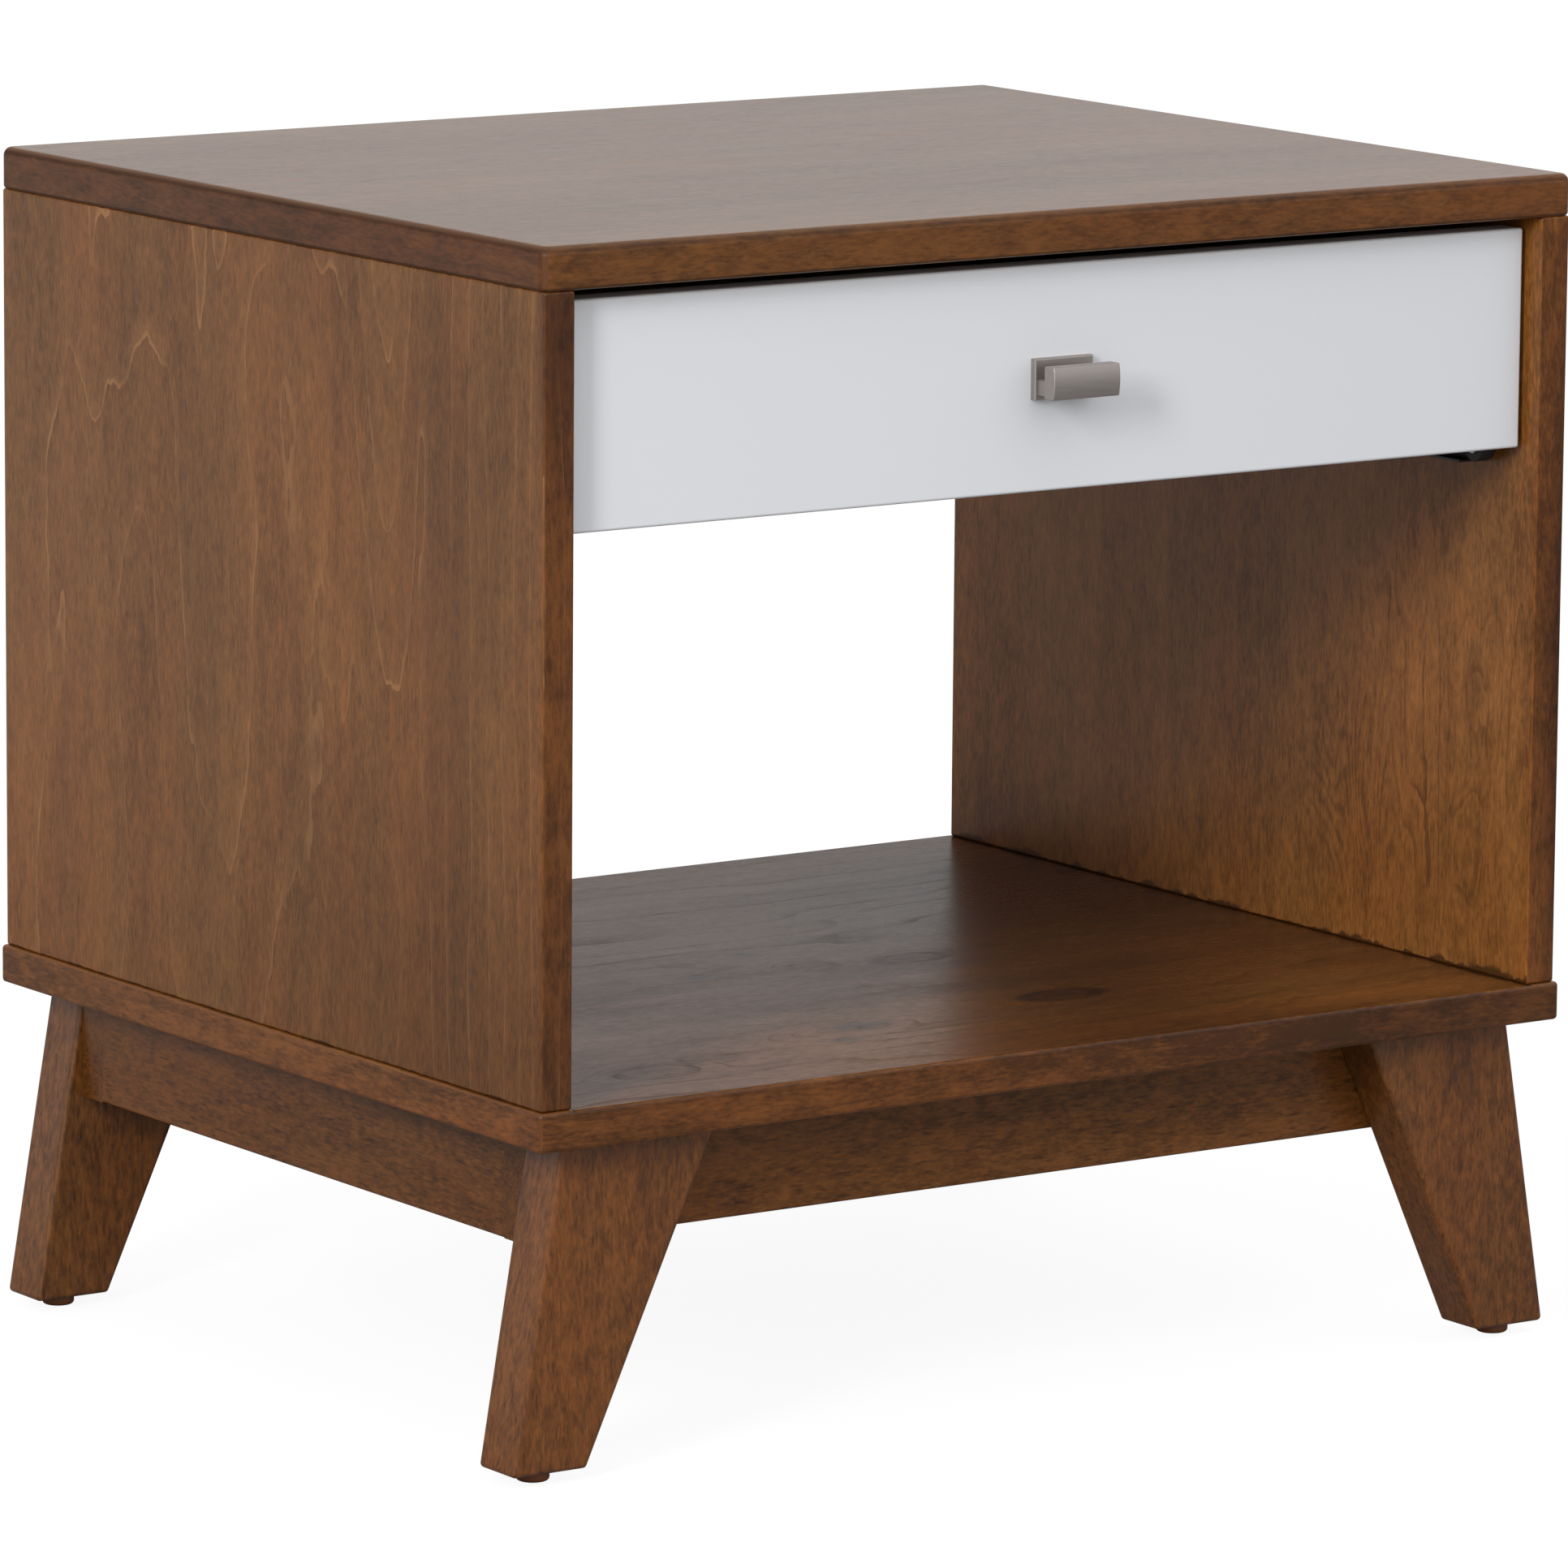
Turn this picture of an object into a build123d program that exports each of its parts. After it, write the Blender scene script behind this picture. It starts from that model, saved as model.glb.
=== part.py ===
from build123d import *
import os

# Side table with one drawer over an open shelf, on a base of four splayed legs.
# Millimetres. The table stands on Z = 0 with its front towards -Y, and X = Y = 0 is the middle
# of the carcass.

# Carcass boards
carcass_width = 635.0  # over the outer faces of the side boards
carcass_depth = 522.0  # front to rear edges of the side boards
side_height = 405.0
side_thickness = 18.0
side_edge_radius = 1.5
top_thickness = 22.0
top_overhang = 1.0
top_edge_radius = 4.5  # round-over of the upper edge
top_corner_extra = 1.5  # how much larger the corners are, in plan, than the round-over
top_under_radius = 2.0
bottom_thickness = 20.0
bottom_overhang = 2.5
bottom_edge_radius = 2.0
bottom_corner_extra = 1.5
back_rail_height = 118.0
back_rail_thickness = 18.0
back_rail_setback = 12.0  # from the rear edges of the side boards
back_rail_edge_radius = 1.5

# Dowelled joints
dowel_clearance = 0.05  # all round a dowel
dowel_end_room = 1.0  # past each end of a dowel
dowel_chamfer = 0.8
carcass_dowel_diameter = 8.0
carcass_dowel_length = 32.0
carcass_dowel_bite = 12.0  # into the face of a board
carcass_dowel_inset = 60.0  # from the front and rear edges
back_rail_dowel_spacing = 64.0
base_dowel_diameter = 8.0
base_dowel_length = 34.0
base_dowel_bite = 14.0  # into the face of a long rail
base_dowel_spacing = 26.0
drawer_dowel_diameter = 6.0
drawer_dowel_length = 28.0
drawer_dowel_bite = 9.0  # into the face of a drawer side
drawer_dowel_spacing = 40.0

# Base
leg_height = 166.0
leg_thickness = 32.0
leg_top_width = 91.5
leg_foot_width = 44.0
leg_splay = 28.5  # how far the foot stands out past the top of the leg
leg_edge_radius = 2.5
leg_setback = 12.5  # behind the front and rear edges of the side boards
base_end_setback = 20.5  # inside the outer faces of the side boards
base_rail_height = 57.0
base_rail_thickness = 21.0
base_rail_edge_radius = 1.5
corner_block_width = 46.0  # along each rail
corner_block_height = 28.0
glide_diameter = 17.0
glide_height = 6.0
glide_edge_radius = 2.0
glide_recess_depth = 2.0  # hides the nail's head

# Fasteners
screw_clearance = 0.05  # all round a shank
screw_end_room = 1.0  # past the tip
screw_slot_width = 0.9
screw_slot_share = 0.62  # length of the cross recess, of the head's diameter
screw_slot_depth = 0.6
leg_screw_diameter = 5.0
leg_screw_bite = 20.0  # into the leg
leg_screw_spacing = 28.0
leg_screw_head_diameter = 9.5
leg_screw_head_height = 3.0
base_screw_diameter = 4.5
base_screw_bite = 13.0  # into the bottom board
base_screw_inset = 13.0  # from both rails
base_screw_head_diameter = 8.5
base_screw_head_height = 2.8
nail_diameter = 2.2
nail_bite = 20.0  # into the leg
nail_head_diameter = 6.0
nail_head_height = 1.2
nail_head_room = 0.3  # around the head in its recess

# Drawer
drawer_front_height = 115.0
drawer_front_thickness = 18.0
drawer_front_recess = 12.0  # behind the front edges of the side boards
drawer_front_side_gap = 3.0
drawer_front_top_gap = 6.5
drawer_front_edge_radius = 1.5
drawer_box_height = 90.0
drawer_box_lift = 1.5  # lower edge of the box above that of the front
drawer_rear_gap = 12.0  # between the drawer and the back rail
drawer_side_thickness = 15.0
drawer_end_thickness = 15.0
drawer_rim_radius = 1.5
drawer_bottom_thickness = 6.0
drawer_bottom_lift = 11.0  # above the lower edge of the box
drawer_groove_depth = 6.0
drawer_groove_clearance = 0.3
front_screw_diameter = 4.0
front_screw_bite = 10.0  # into the drawer front
front_screw_end_distance = 90.0  # from the ends of the inner front
front_screw_floor_gap = 2.0  # between the lower heads and the drawer bottom
front_screw_rim_gap = 19.0  # between the upper heads and the rim of the box
front_screw_head_diameter = 8.0
front_screw_head_height = 2.4

# Pull
pull_plate_width = 36.0
pull_plate_height = 21.0
pull_plate_thickness = 3.8
pull_plate_radius = 0.8
pull_tab_width = 41.0
pull_tab_height = 16.5
pull_tab_thickness = 9.0
pull_tab_bulge = 1.0  # of its front face
pull_tab_lift = 2.2  # lower edge of the tab above that of the plate
pull_tab_radius = 0.6
pull_gap = 11.0  # between plate and tab, for the fingers
pull_web_height = 7.5
pull_web_inset = 1.5  # from the ends of the plate
pull_screw_diameter = 4.0
pull_screw_bite = 8.0  # into the pull
pull_screw_spacing = 16.0
pull_screw_head_diameter = 8.5
pull_screw_head_height = 2.6

# Drawer runners
runner_space = 12.5  # between a carcass side and a drawer side
runner_sheet = 1.2
runner_front_gap = 2.0  # channel behind the drawer front
runner_side_gap = 0.8  # between the channel and the drawer runner
track_rise = 5.5  # track above the flange that the drawer side sits on
track_gap = 0.8  # between the track and the top of the channel
track_wall_gap = 2.5  # between the track and the carcass side
flange_edge_gap = 3.0  # flange short of the drawer side's inner face
front_roller_diameter = 16.0
front_roller_room = 2.0  # before and behind the front roller
runner_nose_inset = 1.0  # rounded end of the web inside the front roller's outline
rear_roller_diameter = 14.0
rear_roller_inset = 7.0  # from the rear end of the drawer
rear_stop_gap = 0.5  # between the rear roller and the end of the channel
roller_running_gap = 0.3  # between a roller and what it runs on
roller_end_gap = 0.3  # between a roller and what is beside it
roller_bore_clearance = 0.05
roller_edge_radius = 0.6
rivet_diameter = 4.0
rivet_head_diameter = 7.0
rivet_head_height = 0.8
runner_screw_diameter = 3.5
runner_screw_bite = 8.5  # into the wood
runner_screw_head_diameter = 6.5
runner_screw_head_height = 1.1
runner_screw_head_gap = 0.6  # between a head and the rear roller's rivet
runner_screw_inset = 34.0  # from the ends of a runner

# Levels above the floor
leg_bottom_z = glide_height
base_top_z = leg_bottom_z + leg_height
bottom_top_z = base_top_z + bottom_thickness
side_top_z = bottom_top_z + side_height
base_rail_bottom_z = base_top_z - base_rail_height
corner_block_bottom_z = base_top_z - corner_block_height

# Carcass places
side_inner_x = carcass_width / 2 - side_thickness
side_middle_x = carcass_width / 2 - side_thickness / 2
carcass_front_y = -carcass_depth / 2
carcass_rear_y = carcass_depth / 2
back_rail_rear_y = carcass_rear_y - back_rail_setback
back_rail_front_y = back_rail_rear_y - back_rail_thickness
back_rail_middle_y = (back_rail_front_y + back_rail_rear_y) / 2
back_rail_middle_z = side_top_z - back_rail_height / 2

# Base places, for the right and the rear: the left and the front mirror them
rail_end_x = carcass_width / 2 - base_end_setback
side_rail_inner_x = rail_end_x - base_rail_thickness
side_rail_middle_x = rail_end_x - base_rail_thickness / 2
leg_outer_y = carcass_depth / 2 - leg_setback
leg_inner_y = leg_outer_y - leg_thickness
leg_middle_y = leg_outer_y - leg_thickness / 2
long_rail_inner_y = leg_inner_y - base_rail_thickness
base_rail_middle_z = base_top_z - base_rail_height / 2
leg_foot_outer_x = rail_end_x + leg_splay
leg_foot_middle_x = leg_foot_outer_x - leg_foot_width / 2
leg_top_inner_x = rail_end_x - leg_top_width
leg_foot_inner_x = leg_foot_outer_x - leg_foot_width
leg_screw_z = (base_rail_bottom_z + corner_block_bottom_z) / 2
leg_screw_share = (base_top_z - leg_screw_z) / leg_height
leg_inner_at_screws_x = leg_top_inner_x + leg_screw_share * (leg_foot_inner_x - leg_top_inner_x)
leg_screw_middle_x = (leg_inner_at_screws_x + side_rail_inner_x) / 2

# Drawer places
front_top_z = side_top_z - drawer_front_top_gap
front_bottom_z = front_top_z - drawer_front_height
front_face_y = carcass_front_y + drawer_front_recess
box_front_y = front_face_y + drawer_front_thickness
box_rear_y = back_rail_front_y - drawer_rear_gap
box_bottom_z = front_bottom_z + drawer_box_lift
box_outer_x = side_inner_x - runner_space
box_inner_x = box_outer_x - drawer_side_thickness
box_inner_front_y = box_front_y + drawer_end_thickness
box_inner_rear_y = box_rear_y - drawer_end_thickness
box_top_z = box_bottom_z + drawer_box_height
box_floor_z = box_bottom_z + drawer_bottom_lift + drawer_bottom_thickness
box_dowel_z = (box_floor_z + box_top_z) / 2
box_middle_y = (box_front_y + box_rear_y) / 2
box_length = box_rear_y - box_front_y
box_inner_length = box_inner_rear_y - box_inner_front_y
box_middle_z = (box_bottom_z + box_top_z) / 2
groove_bottom_z = box_bottom_z + drawer_bottom_lift - drawer_groove_clearance
groove_height = drawer_bottom_thickness + 2 * drawer_groove_clearance
pull_middle_z = (front_bottom_z + front_top_z) / 2
plate_bottom_z = pull_middle_z - pull_plate_height / 2
plate_front_y = front_face_y - pull_plate_thickness
tab_rear_y = plate_front_y - pull_gap
tab_front_y = tab_rear_y - pull_tab_thickness
tab_bottom_z = plate_bottom_z + pull_tab_lift
web_bottom_z = tab_bottom_z + pull_tab_radius
web_middle_z = web_bottom_z + pull_web_height / 2

# Runner places. A distance from the carcass side, towards the drawer, is called out.
flange_bottom_z = box_bottom_z - runner_sheet
track_bottom_z = flange_bottom_z + track_rise
front_roller_z = track_bottom_z - roller_running_gap - front_roller_diameter / 2
channel_top_z = track_bottom_z - track_gap
channel_inner_height = rear_roller_diameter + 2 * roller_running_gap
channel_bottom_z = channel_top_z - channel_inner_height - 2 * runner_sheet
rear_roller_z = (channel_bottom_z + channel_top_z) / 2
channel_front_y = box_front_y + runner_front_gap
front_roller_zone = front_roller_diameter + 2 * front_roller_room
front_roller_y = channel_front_y + front_roller_zone / 2
rear_roller_y = box_rear_y - rear_roller_inset
channel_rear_y = rear_roller_y + rear_roller_diameter / 2 + rear_stop_gap + runner_sheet
drawer_web_out = runner_space - runner_sheet
channel_out = drawer_web_out - runner_side_gap
front_roller_start_out = runner_sheet + roller_end_gap
front_rivet_seat_out = channel_out - rivet_head_height
front_roller_end_out = front_rivet_seat_out - roller_end_gap
rear_rivet_end_out = runner_sheet + runner_screw_head_height + runner_screw_head_gap
rear_rivet_seat_out = rear_rivet_end_out + rivet_head_height
rear_roller_start_out = rear_rivet_seat_out + roller_end_gap
rear_roller_end_out = drawer_web_out - roller_end_gap
flange_end_out = runner_space + drawer_side_thickness - flange_edge_gap
flange_screw_out = (runner_space + flange_end_out) / 2
ear_bottom_z = rear_roller_z - rear_roller_inset
ear_front_y = rear_roller_y - rear_roller_inset

# The left and right, and the front and rear
SIDES = {"left": -1, "right": 1}
ENDS = {"front": -1, "rear": 1}

os.makedirs("parts", exist_ok=True)


def write(piece, name):
    """Label a finished piece and write it to its own file."""
    piece.part.label = name
    export_step(piece.part, f"parts/{name}.step")


def spots(points, outward):
    """Places at the points, each facing outward."""
    return Locations(*[Plane(origin=point, z_dir=outward) for point in points])


def three_along(first, last, inset):
    """Three places between first and last: near each end and in the middle."""
    return (first + inset, (first + last) / 2, last - inset)


def dowel_hole(points, outward, diameter, depth):
    """Cut a dowel's hole from each point, into the face that faces outward."""
    with spots(points, outward):
        Hole(diameter / 2 + dowel_clearance, depth + dowel_end_room)


def screw_hole(points, outward, diameter, depth):
    """Cut a screw's hole from each point, into the face that faces outward."""
    with spots(points, outward):
        Hole(diameter / 2 + screw_clearance, depth)


def put_dowels(points, outward, diameter, length, bite):
    """Add dowels that enter the face at each point by the bite, and stand outward."""
    with spots(points, outward):
        with Locations((0, 0, length / 2 - bite)):
            Cylinder(diameter / 2, length)


def chamfer_dowels(group):
    """Chamfer both ends of every dowel in a group."""
    chamfer(group.edges().filter_by(GeomType.CIRCLE), dowel_chamfer)


def put_flat_heads(points, outward, diameter, length, head_diameter, head_height):
    """Add plain pins, as nails and rivets are, heads seated on the points and facing outward."""
    with spots(points, outward):
        Cylinder(diameter / 2, length, align=(Align.CENTER, Align.CENTER, Align.MAX))
        Cylinder(head_diameter / 2, head_height, align=(Align.CENTER, Align.CENTER, Align.MIN))


def put_screws(points, outward, diameter, length, head_diameter, head_height):
    """Add screws with a cross recess, heads seated on the points and facing outward."""
    put_flat_heads(points, outward, diameter, length, head_diameter, head_height)
    with spots(points, outward):
        with Locations((0, 0, head_height)):
            for turn in (0, 90):
                Box(
                    head_diameter * screw_slot_share,
                    screw_slot_width,
                    2 * screw_slot_depth,
                    rotation=(0, 0, turn),
                    mode=Mode.SUBTRACT,
                )


# Places of the dowels and screws

dowel_rows_y = three_along(carcass_front_y, carcass_rear_y, carcass_dowel_inset)
base_dowel_heights = [base_rail_middle_z + step * base_dowel_spacing / 2 for step in (-1, 1)]
back_dowel_heights = [back_rail_middle_z + step * back_rail_dowel_spacing / 2 for step in (-1, 1)]
box_dowel_heights = [box_dowel_z + step * drawer_dowel_spacing / 2 for step in (-1, 1)]
box_dowel_rows_y = {
    ENDS["front"]: (box_front_y + box_inner_front_y) / 2,
    ENDS["rear"]: (box_inner_rear_y + box_rear_y) / 2,
}
front_screw_x = box_inner_x - front_screw_end_distance
front_screw_heights = [
    box_floor_z + front_screw_floor_gap + front_screw_head_diameter / 2,
    box_top_z - front_screw_rim_gap - front_screw_head_diameter / 2,
]
front_screw_points = [
    (side * front_screw_x, box_inner_front_y, z) for side in (-1, 1) for z in front_screw_heights
]
pull_screw_points = [
    (side * pull_screw_spacing / 2, box_inner_front_y, web_middle_z) for side in (-1, 1)
]


def carcass_dowel_points(side, z):
    """The three dowels of one side board, at the height of its end."""
    return [(side * side_middle_x, y, z) for y in dowel_rows_y]


def back_dowel_points(side):
    """The dowels at one end of the back rail, on the inner face of the side board."""
    return [(side * side_inner_x, back_rail_middle_y, z) for z in back_dowel_heights]


def base_dowel_points(side, end):
    """The dowels of one corner of the base, on the inner face of the long rail."""
    return [(side * side_rail_middle_x, end * long_rail_inner_y, z) for z in base_dowel_heights]


def leg_screw_points(side, end):
    """The screws of one leg, on the inner face of the long rail."""
    columns_x = [leg_screw_middle_x + step * leg_screw_spacing / 2 for step in (-1, 1)]
    return [(side * x, end * long_rail_inner_y, leg_screw_z) for x in columns_x]


def base_screw_point(side, end, z):
    """The screw through one corner block, at a height."""
    return (
        side * (side_rail_inner_x - base_screw_inset),
        end * (long_rail_inner_y - base_screw_inset),
        z,
    )


def glide_point(side, end, z):
    """The middle of one foot, at a height."""
    return (side * leg_foot_middle_x, end * leg_middle_y, z)


def out_x(side, out):
    """X at a distance from the inner face of one carcass side, towards the drawer."""
    return side * (side_inner_x - out)


def cabinet_screw_points(side, out):
    """The screws of one channel, at a distance from the carcass side."""
    rows = three_along(channel_front_y + front_roller_zone, channel_rear_y, runner_screw_inset)
    return [(out_x(side, out), y, rear_roller_z) for y in rows]


def drawer_screw_points(side, z):
    """The screws of one drawer runner, at a height."""
    rows = three_along(box_front_y, ear_front_y, runner_screw_inset)
    return [(out_x(side, flange_screw_out), y, z) for y in rows]


def box_dowel_points(side, end):
    """The dowels of one corner of the drawer, on the inner face of its side."""
    return [(side * box_inner_x, box_dowel_rows_y[end], z) for z in box_dowel_heights]


# Carcass

with BuildPart() as top_panel:
    with BuildSketch(Plane.XY.offset(side_top_z)):
        RectangleRounded(
            carcass_width + 2 * top_overhang,
            carcass_depth + 2 * top_overhang,
            top_edge_radius + top_corner_extra,
        )
    extrude(amount=top_thickness)
    fillet(top_panel.faces().sort_by(Axis.Z)[-1].edges(), top_edge_radius)
    fillet(top_panel.faces().sort_by(Axis.Z)[0].edges(), top_under_radius)
    for side in SIDES.values():
        points = carcass_dowel_points(side, side_top_z)
        dowel_hole(points, (0, 0, -1), carcass_dowel_diameter, carcass_dowel_bite)
write(top_panel, "top_panel")

with BuildPart() as bottom_panel:
    with BuildSketch(Plane.XY.offset(base_top_z)):
        RectangleRounded(
            carcass_width + 2 * bottom_overhang,
            carcass_depth + 2 * bottom_overhang,
            bottom_edge_radius + bottom_corner_extra,
        )
    extrude(amount=bottom_thickness)
    fillet(bottom_panel.faces().sort_by(Axis.Z)[-1].edges(), bottom_edge_radius)
    fillet(bottom_panel.faces().sort_by(Axis.Z)[0].edges(), bottom_edge_radius)
    for side in SIDES.values():
        points = carcass_dowel_points(side, bottom_top_z)
        dowel_hole(points, (0, 0, 1), carcass_dowel_diameter, carcass_dowel_bite)
        points = [base_screw_point(side, end, base_top_z) for end in ENDS.values()]
        screw_hole(points, (0, 0, -1), base_screw_diameter, base_screw_bite + screw_end_room)
write(bottom_panel, "bottom_panel")

for side_name, side in SIDES.items():
    with BuildPart() as side_panel:
        with BuildSketch(Plane.XY.offset(bottom_top_z)):
            with Locations((side * side_middle_x, 0)):
                Rectangle(side_thickness, carcass_depth)
        extrude(amount=side_height)
        fillet(side_panel.edges(), side_edge_radius)
        dowel_depth = carcass_dowel_length - carcass_dowel_bite
        points = carcass_dowel_points(side, side_top_z)
        dowel_hole(points, (0, 0, 1), carcass_dowel_diameter, dowel_depth)
        points = carcass_dowel_points(side, bottom_top_z)
        dowel_hole(points, (0, 0, -1), carcass_dowel_diameter, dowel_depth)
        points = back_dowel_points(side)
        dowel_hole(points, (-side, 0, 0), carcass_dowel_diameter, carcass_dowel_bite)
        points = cabinet_screw_points(side, 0)
        screw_hole(points, (-side, 0, 0), runner_screw_diameter, runner_screw_bite + screw_end_room)
    write(side_panel, f"{side_name}_side_panel")

with BuildPart() as back_rail:
    with BuildSketch(Plane.XY.offset(side_top_z - back_rail_height)):
        with Locations((0, back_rail_middle_y)):
            Rectangle(2 * side_inner_x, back_rail_thickness)
    extrude(amount=back_rail_height)
    fillet(back_rail.edges().filter_by(Axis.X), back_rail_edge_radius)
    for side in SIDES.values():
        points = back_dowel_points(side)
        dowel_depth = carcass_dowel_length - carcass_dowel_bite
        dowel_hole(points, (side, 0, 0), carcass_dowel_diameter, dowel_depth)
write(back_rail, "back_rail")

carcass_dowel_sizes = (carcass_dowel_diameter, carcass_dowel_length, carcass_dowel_bite)

with BuildPart() as top_dowels:
    for side in SIDES.values():
        put_dowels(carcass_dowel_points(side, side_top_z), (0, 0, -1), *carcass_dowel_sizes)
    chamfer_dowels(top_dowels)
write(top_dowels, "top_dowels")

with BuildPart() as bottom_dowels:
    for side in SIDES.values():
        put_dowels(carcass_dowel_points(side, bottom_top_z), (0, 0, 1), *carcass_dowel_sizes)
    chamfer_dowels(bottom_dowels)
write(bottom_dowels, "bottom_dowels")

with BuildPart() as back_rail_dowels:
    for side in SIDES.values():
        put_dowels(back_dowel_points(side), (-side, 0, 0), *carcass_dowel_sizes)
    chamfer_dowels(back_rail_dowels)
write(back_rail_dowels, "back_rail_dowels")

# Base

for end_name, end in ENDS.items():
    with BuildPart() as long_rail:
        with BuildSketch(Plane.XY.offset(base_rail_bottom_z)):
            with Locations((0, end * (leg_inner_y - base_rail_thickness / 2))):
                Rectangle(2 * rail_end_x, base_rail_thickness)
        extrude(amount=base_rail_height)
        fillet(long_rail.edges().group_by(Axis.Z)[0].filter_by(Axis.X), base_rail_edge_radius)
        for side in SIDES.values():
            points = base_dowel_points(side, end)
            dowel_hole(points, (0, -end, 0), base_dowel_diameter, base_dowel_bite)
            points = leg_screw_points(side, end)
            screw_hole(points, (0, -end, 0), leg_screw_diameter, base_rail_thickness)
    write(long_rail, f"{end_name}_base_rail")

for side_name, side in SIDES.items():
    with BuildPart() as short_rail:
        with BuildSketch(Plane.XY.offset(base_rail_bottom_z)):
            with Locations((side * side_rail_middle_x, 0)):
                Rectangle(base_rail_thickness, 2 * long_rail_inner_y)
        extrude(amount=base_rail_height)
        fillet(short_rail.edges().group_by(Axis.Z)[0].filter_by(Axis.Y), base_rail_edge_radius)
        for end in ENDS.values():
            points = base_dowel_points(side, end)
            dowel_hole(points, (0, end, 0), base_dowel_diameter, base_dowel_length - base_dowel_bite)
    write(short_rail, f"{side_name}_base_rail")

with BuildPart() as base_dowels:
    for side in SIDES.values():
        for end in ENDS.values():
            put_dowels(
                base_dowel_points(side, end),
                (0, -end, 0),
                base_dowel_diameter,
                base_dowel_length,
                base_dowel_bite,
            )
    chamfer_dowels(base_dowels)
write(base_dowels, "base_dowels")

for end_name, end in ENDS.items():
    for side_name, side in SIDES.items():
        corner = f"{end_name}_{side_name}"

        with BuildPart() as leg:
            leg_rear_y = max(end * leg_outer_y, end * leg_inner_y)
            with BuildSketch(Plane.XZ.offset(-leg_rear_y)):
                with BuildLine():
                    Polyline(
                        (side * leg_top_inner_x, base_top_z),
                        (side * rail_end_x, base_top_z),
                        (side * leg_foot_outer_x, leg_bottom_z),
                        (side * leg_foot_inner_x, leg_bottom_z),
                        close=True,
                    )
                make_face()
            extrude(amount=leg_thickness)
            eased = leg.edges() - leg.faces().sort_by(Axis.Z)[-1].edges()
            fillet(eased, leg_edge_radius)
            points = [(x, end * leg_inner_y, z) for x, _, z in leg_screw_points(side, end)]
            screw_hole(points, (0, -end, 0), leg_screw_diameter, leg_screw_bite + screw_end_room)
            points = [glide_point(side, end, leg_bottom_z)]
            screw_hole(points, (0, 0, -1), nail_diameter, nail_bite + screw_end_room)
        write(leg, f"{corner}_leg")

        with BuildPart() as corner_block:
            corner_x = side * side_rail_inner_x
            corner_y = end * long_rail_inner_y
            with BuildSketch(Plane.XY.offset(corner_block_bottom_z)):
                with BuildLine():
                    Polyline(
                        (corner_x, corner_y),
                        (corner_x - side * corner_block_width, corner_y),
                        (corner_x, corner_y - end * corner_block_width),
                        close=True,
                    )
                make_face()
            extrude(amount=corner_block_height)
            points = [base_screw_point(side, end, corner_block_bottom_z)]
            screw_hole(points, (0, 0, -1), base_screw_diameter, corner_block_height)
        write(corner_block, f"{corner}_corner_block")

        with BuildPart() as glide:
            foot_x, foot_y, _ = glide_point(side, end, 0)
            with BuildSketch(Plane.XY):
                with Locations((foot_x, foot_y)):
                    Circle(glide_diameter / 2)
            extrude(amount=glide_height)
            fillet(glide.edges().sort_by(Axis.Z)[0], glide_edge_radius)
            with spots([glide_point(side, end, 0)], (0, 0, -1)):
                CounterBoreHole(
                    nail_diameter / 2 + screw_clearance,
                    nail_head_diameter / 2 + nail_head_room,
                    glide_recess_depth,
                    glide_height,
                )
        write(glide, f"{corner}_glide")

with BuildPart() as leg_screws:
    for side in SIDES.values():
        for end in ENDS.values():
            put_screws(
                leg_screw_points(side, end),
                (0, -end, 0),
                leg_screw_diameter,
                base_rail_thickness + leg_screw_bite,
                leg_screw_head_diameter,
                leg_screw_head_height,
            )
write(leg_screws, "leg_screws")

with BuildPart() as base_screws:
    for side in SIDES.values():
        put_screws(
            [base_screw_point(side, end, corner_block_bottom_z) for end in ENDS.values()],
            (0, 0, -1),
            base_screw_diameter,
            corner_block_height + base_screw_bite,
            base_screw_head_diameter,
            base_screw_head_height,
        )
write(base_screws, "base_screws")

with BuildPart() as glide_nails:
    nail_length = glide_height - glide_recess_depth + nail_bite
    for side in SIDES.values():
        put_flat_heads(
            [glide_point(side, end, glide_recess_depth) for end in ENDS.values()],
            (0, 0, -1),
            nail_diameter,
            nail_length,
            nail_head_diameter,
            nail_head_height,
        )
write(glide_nails, "glide_nails")

# Runners on the carcass

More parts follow.
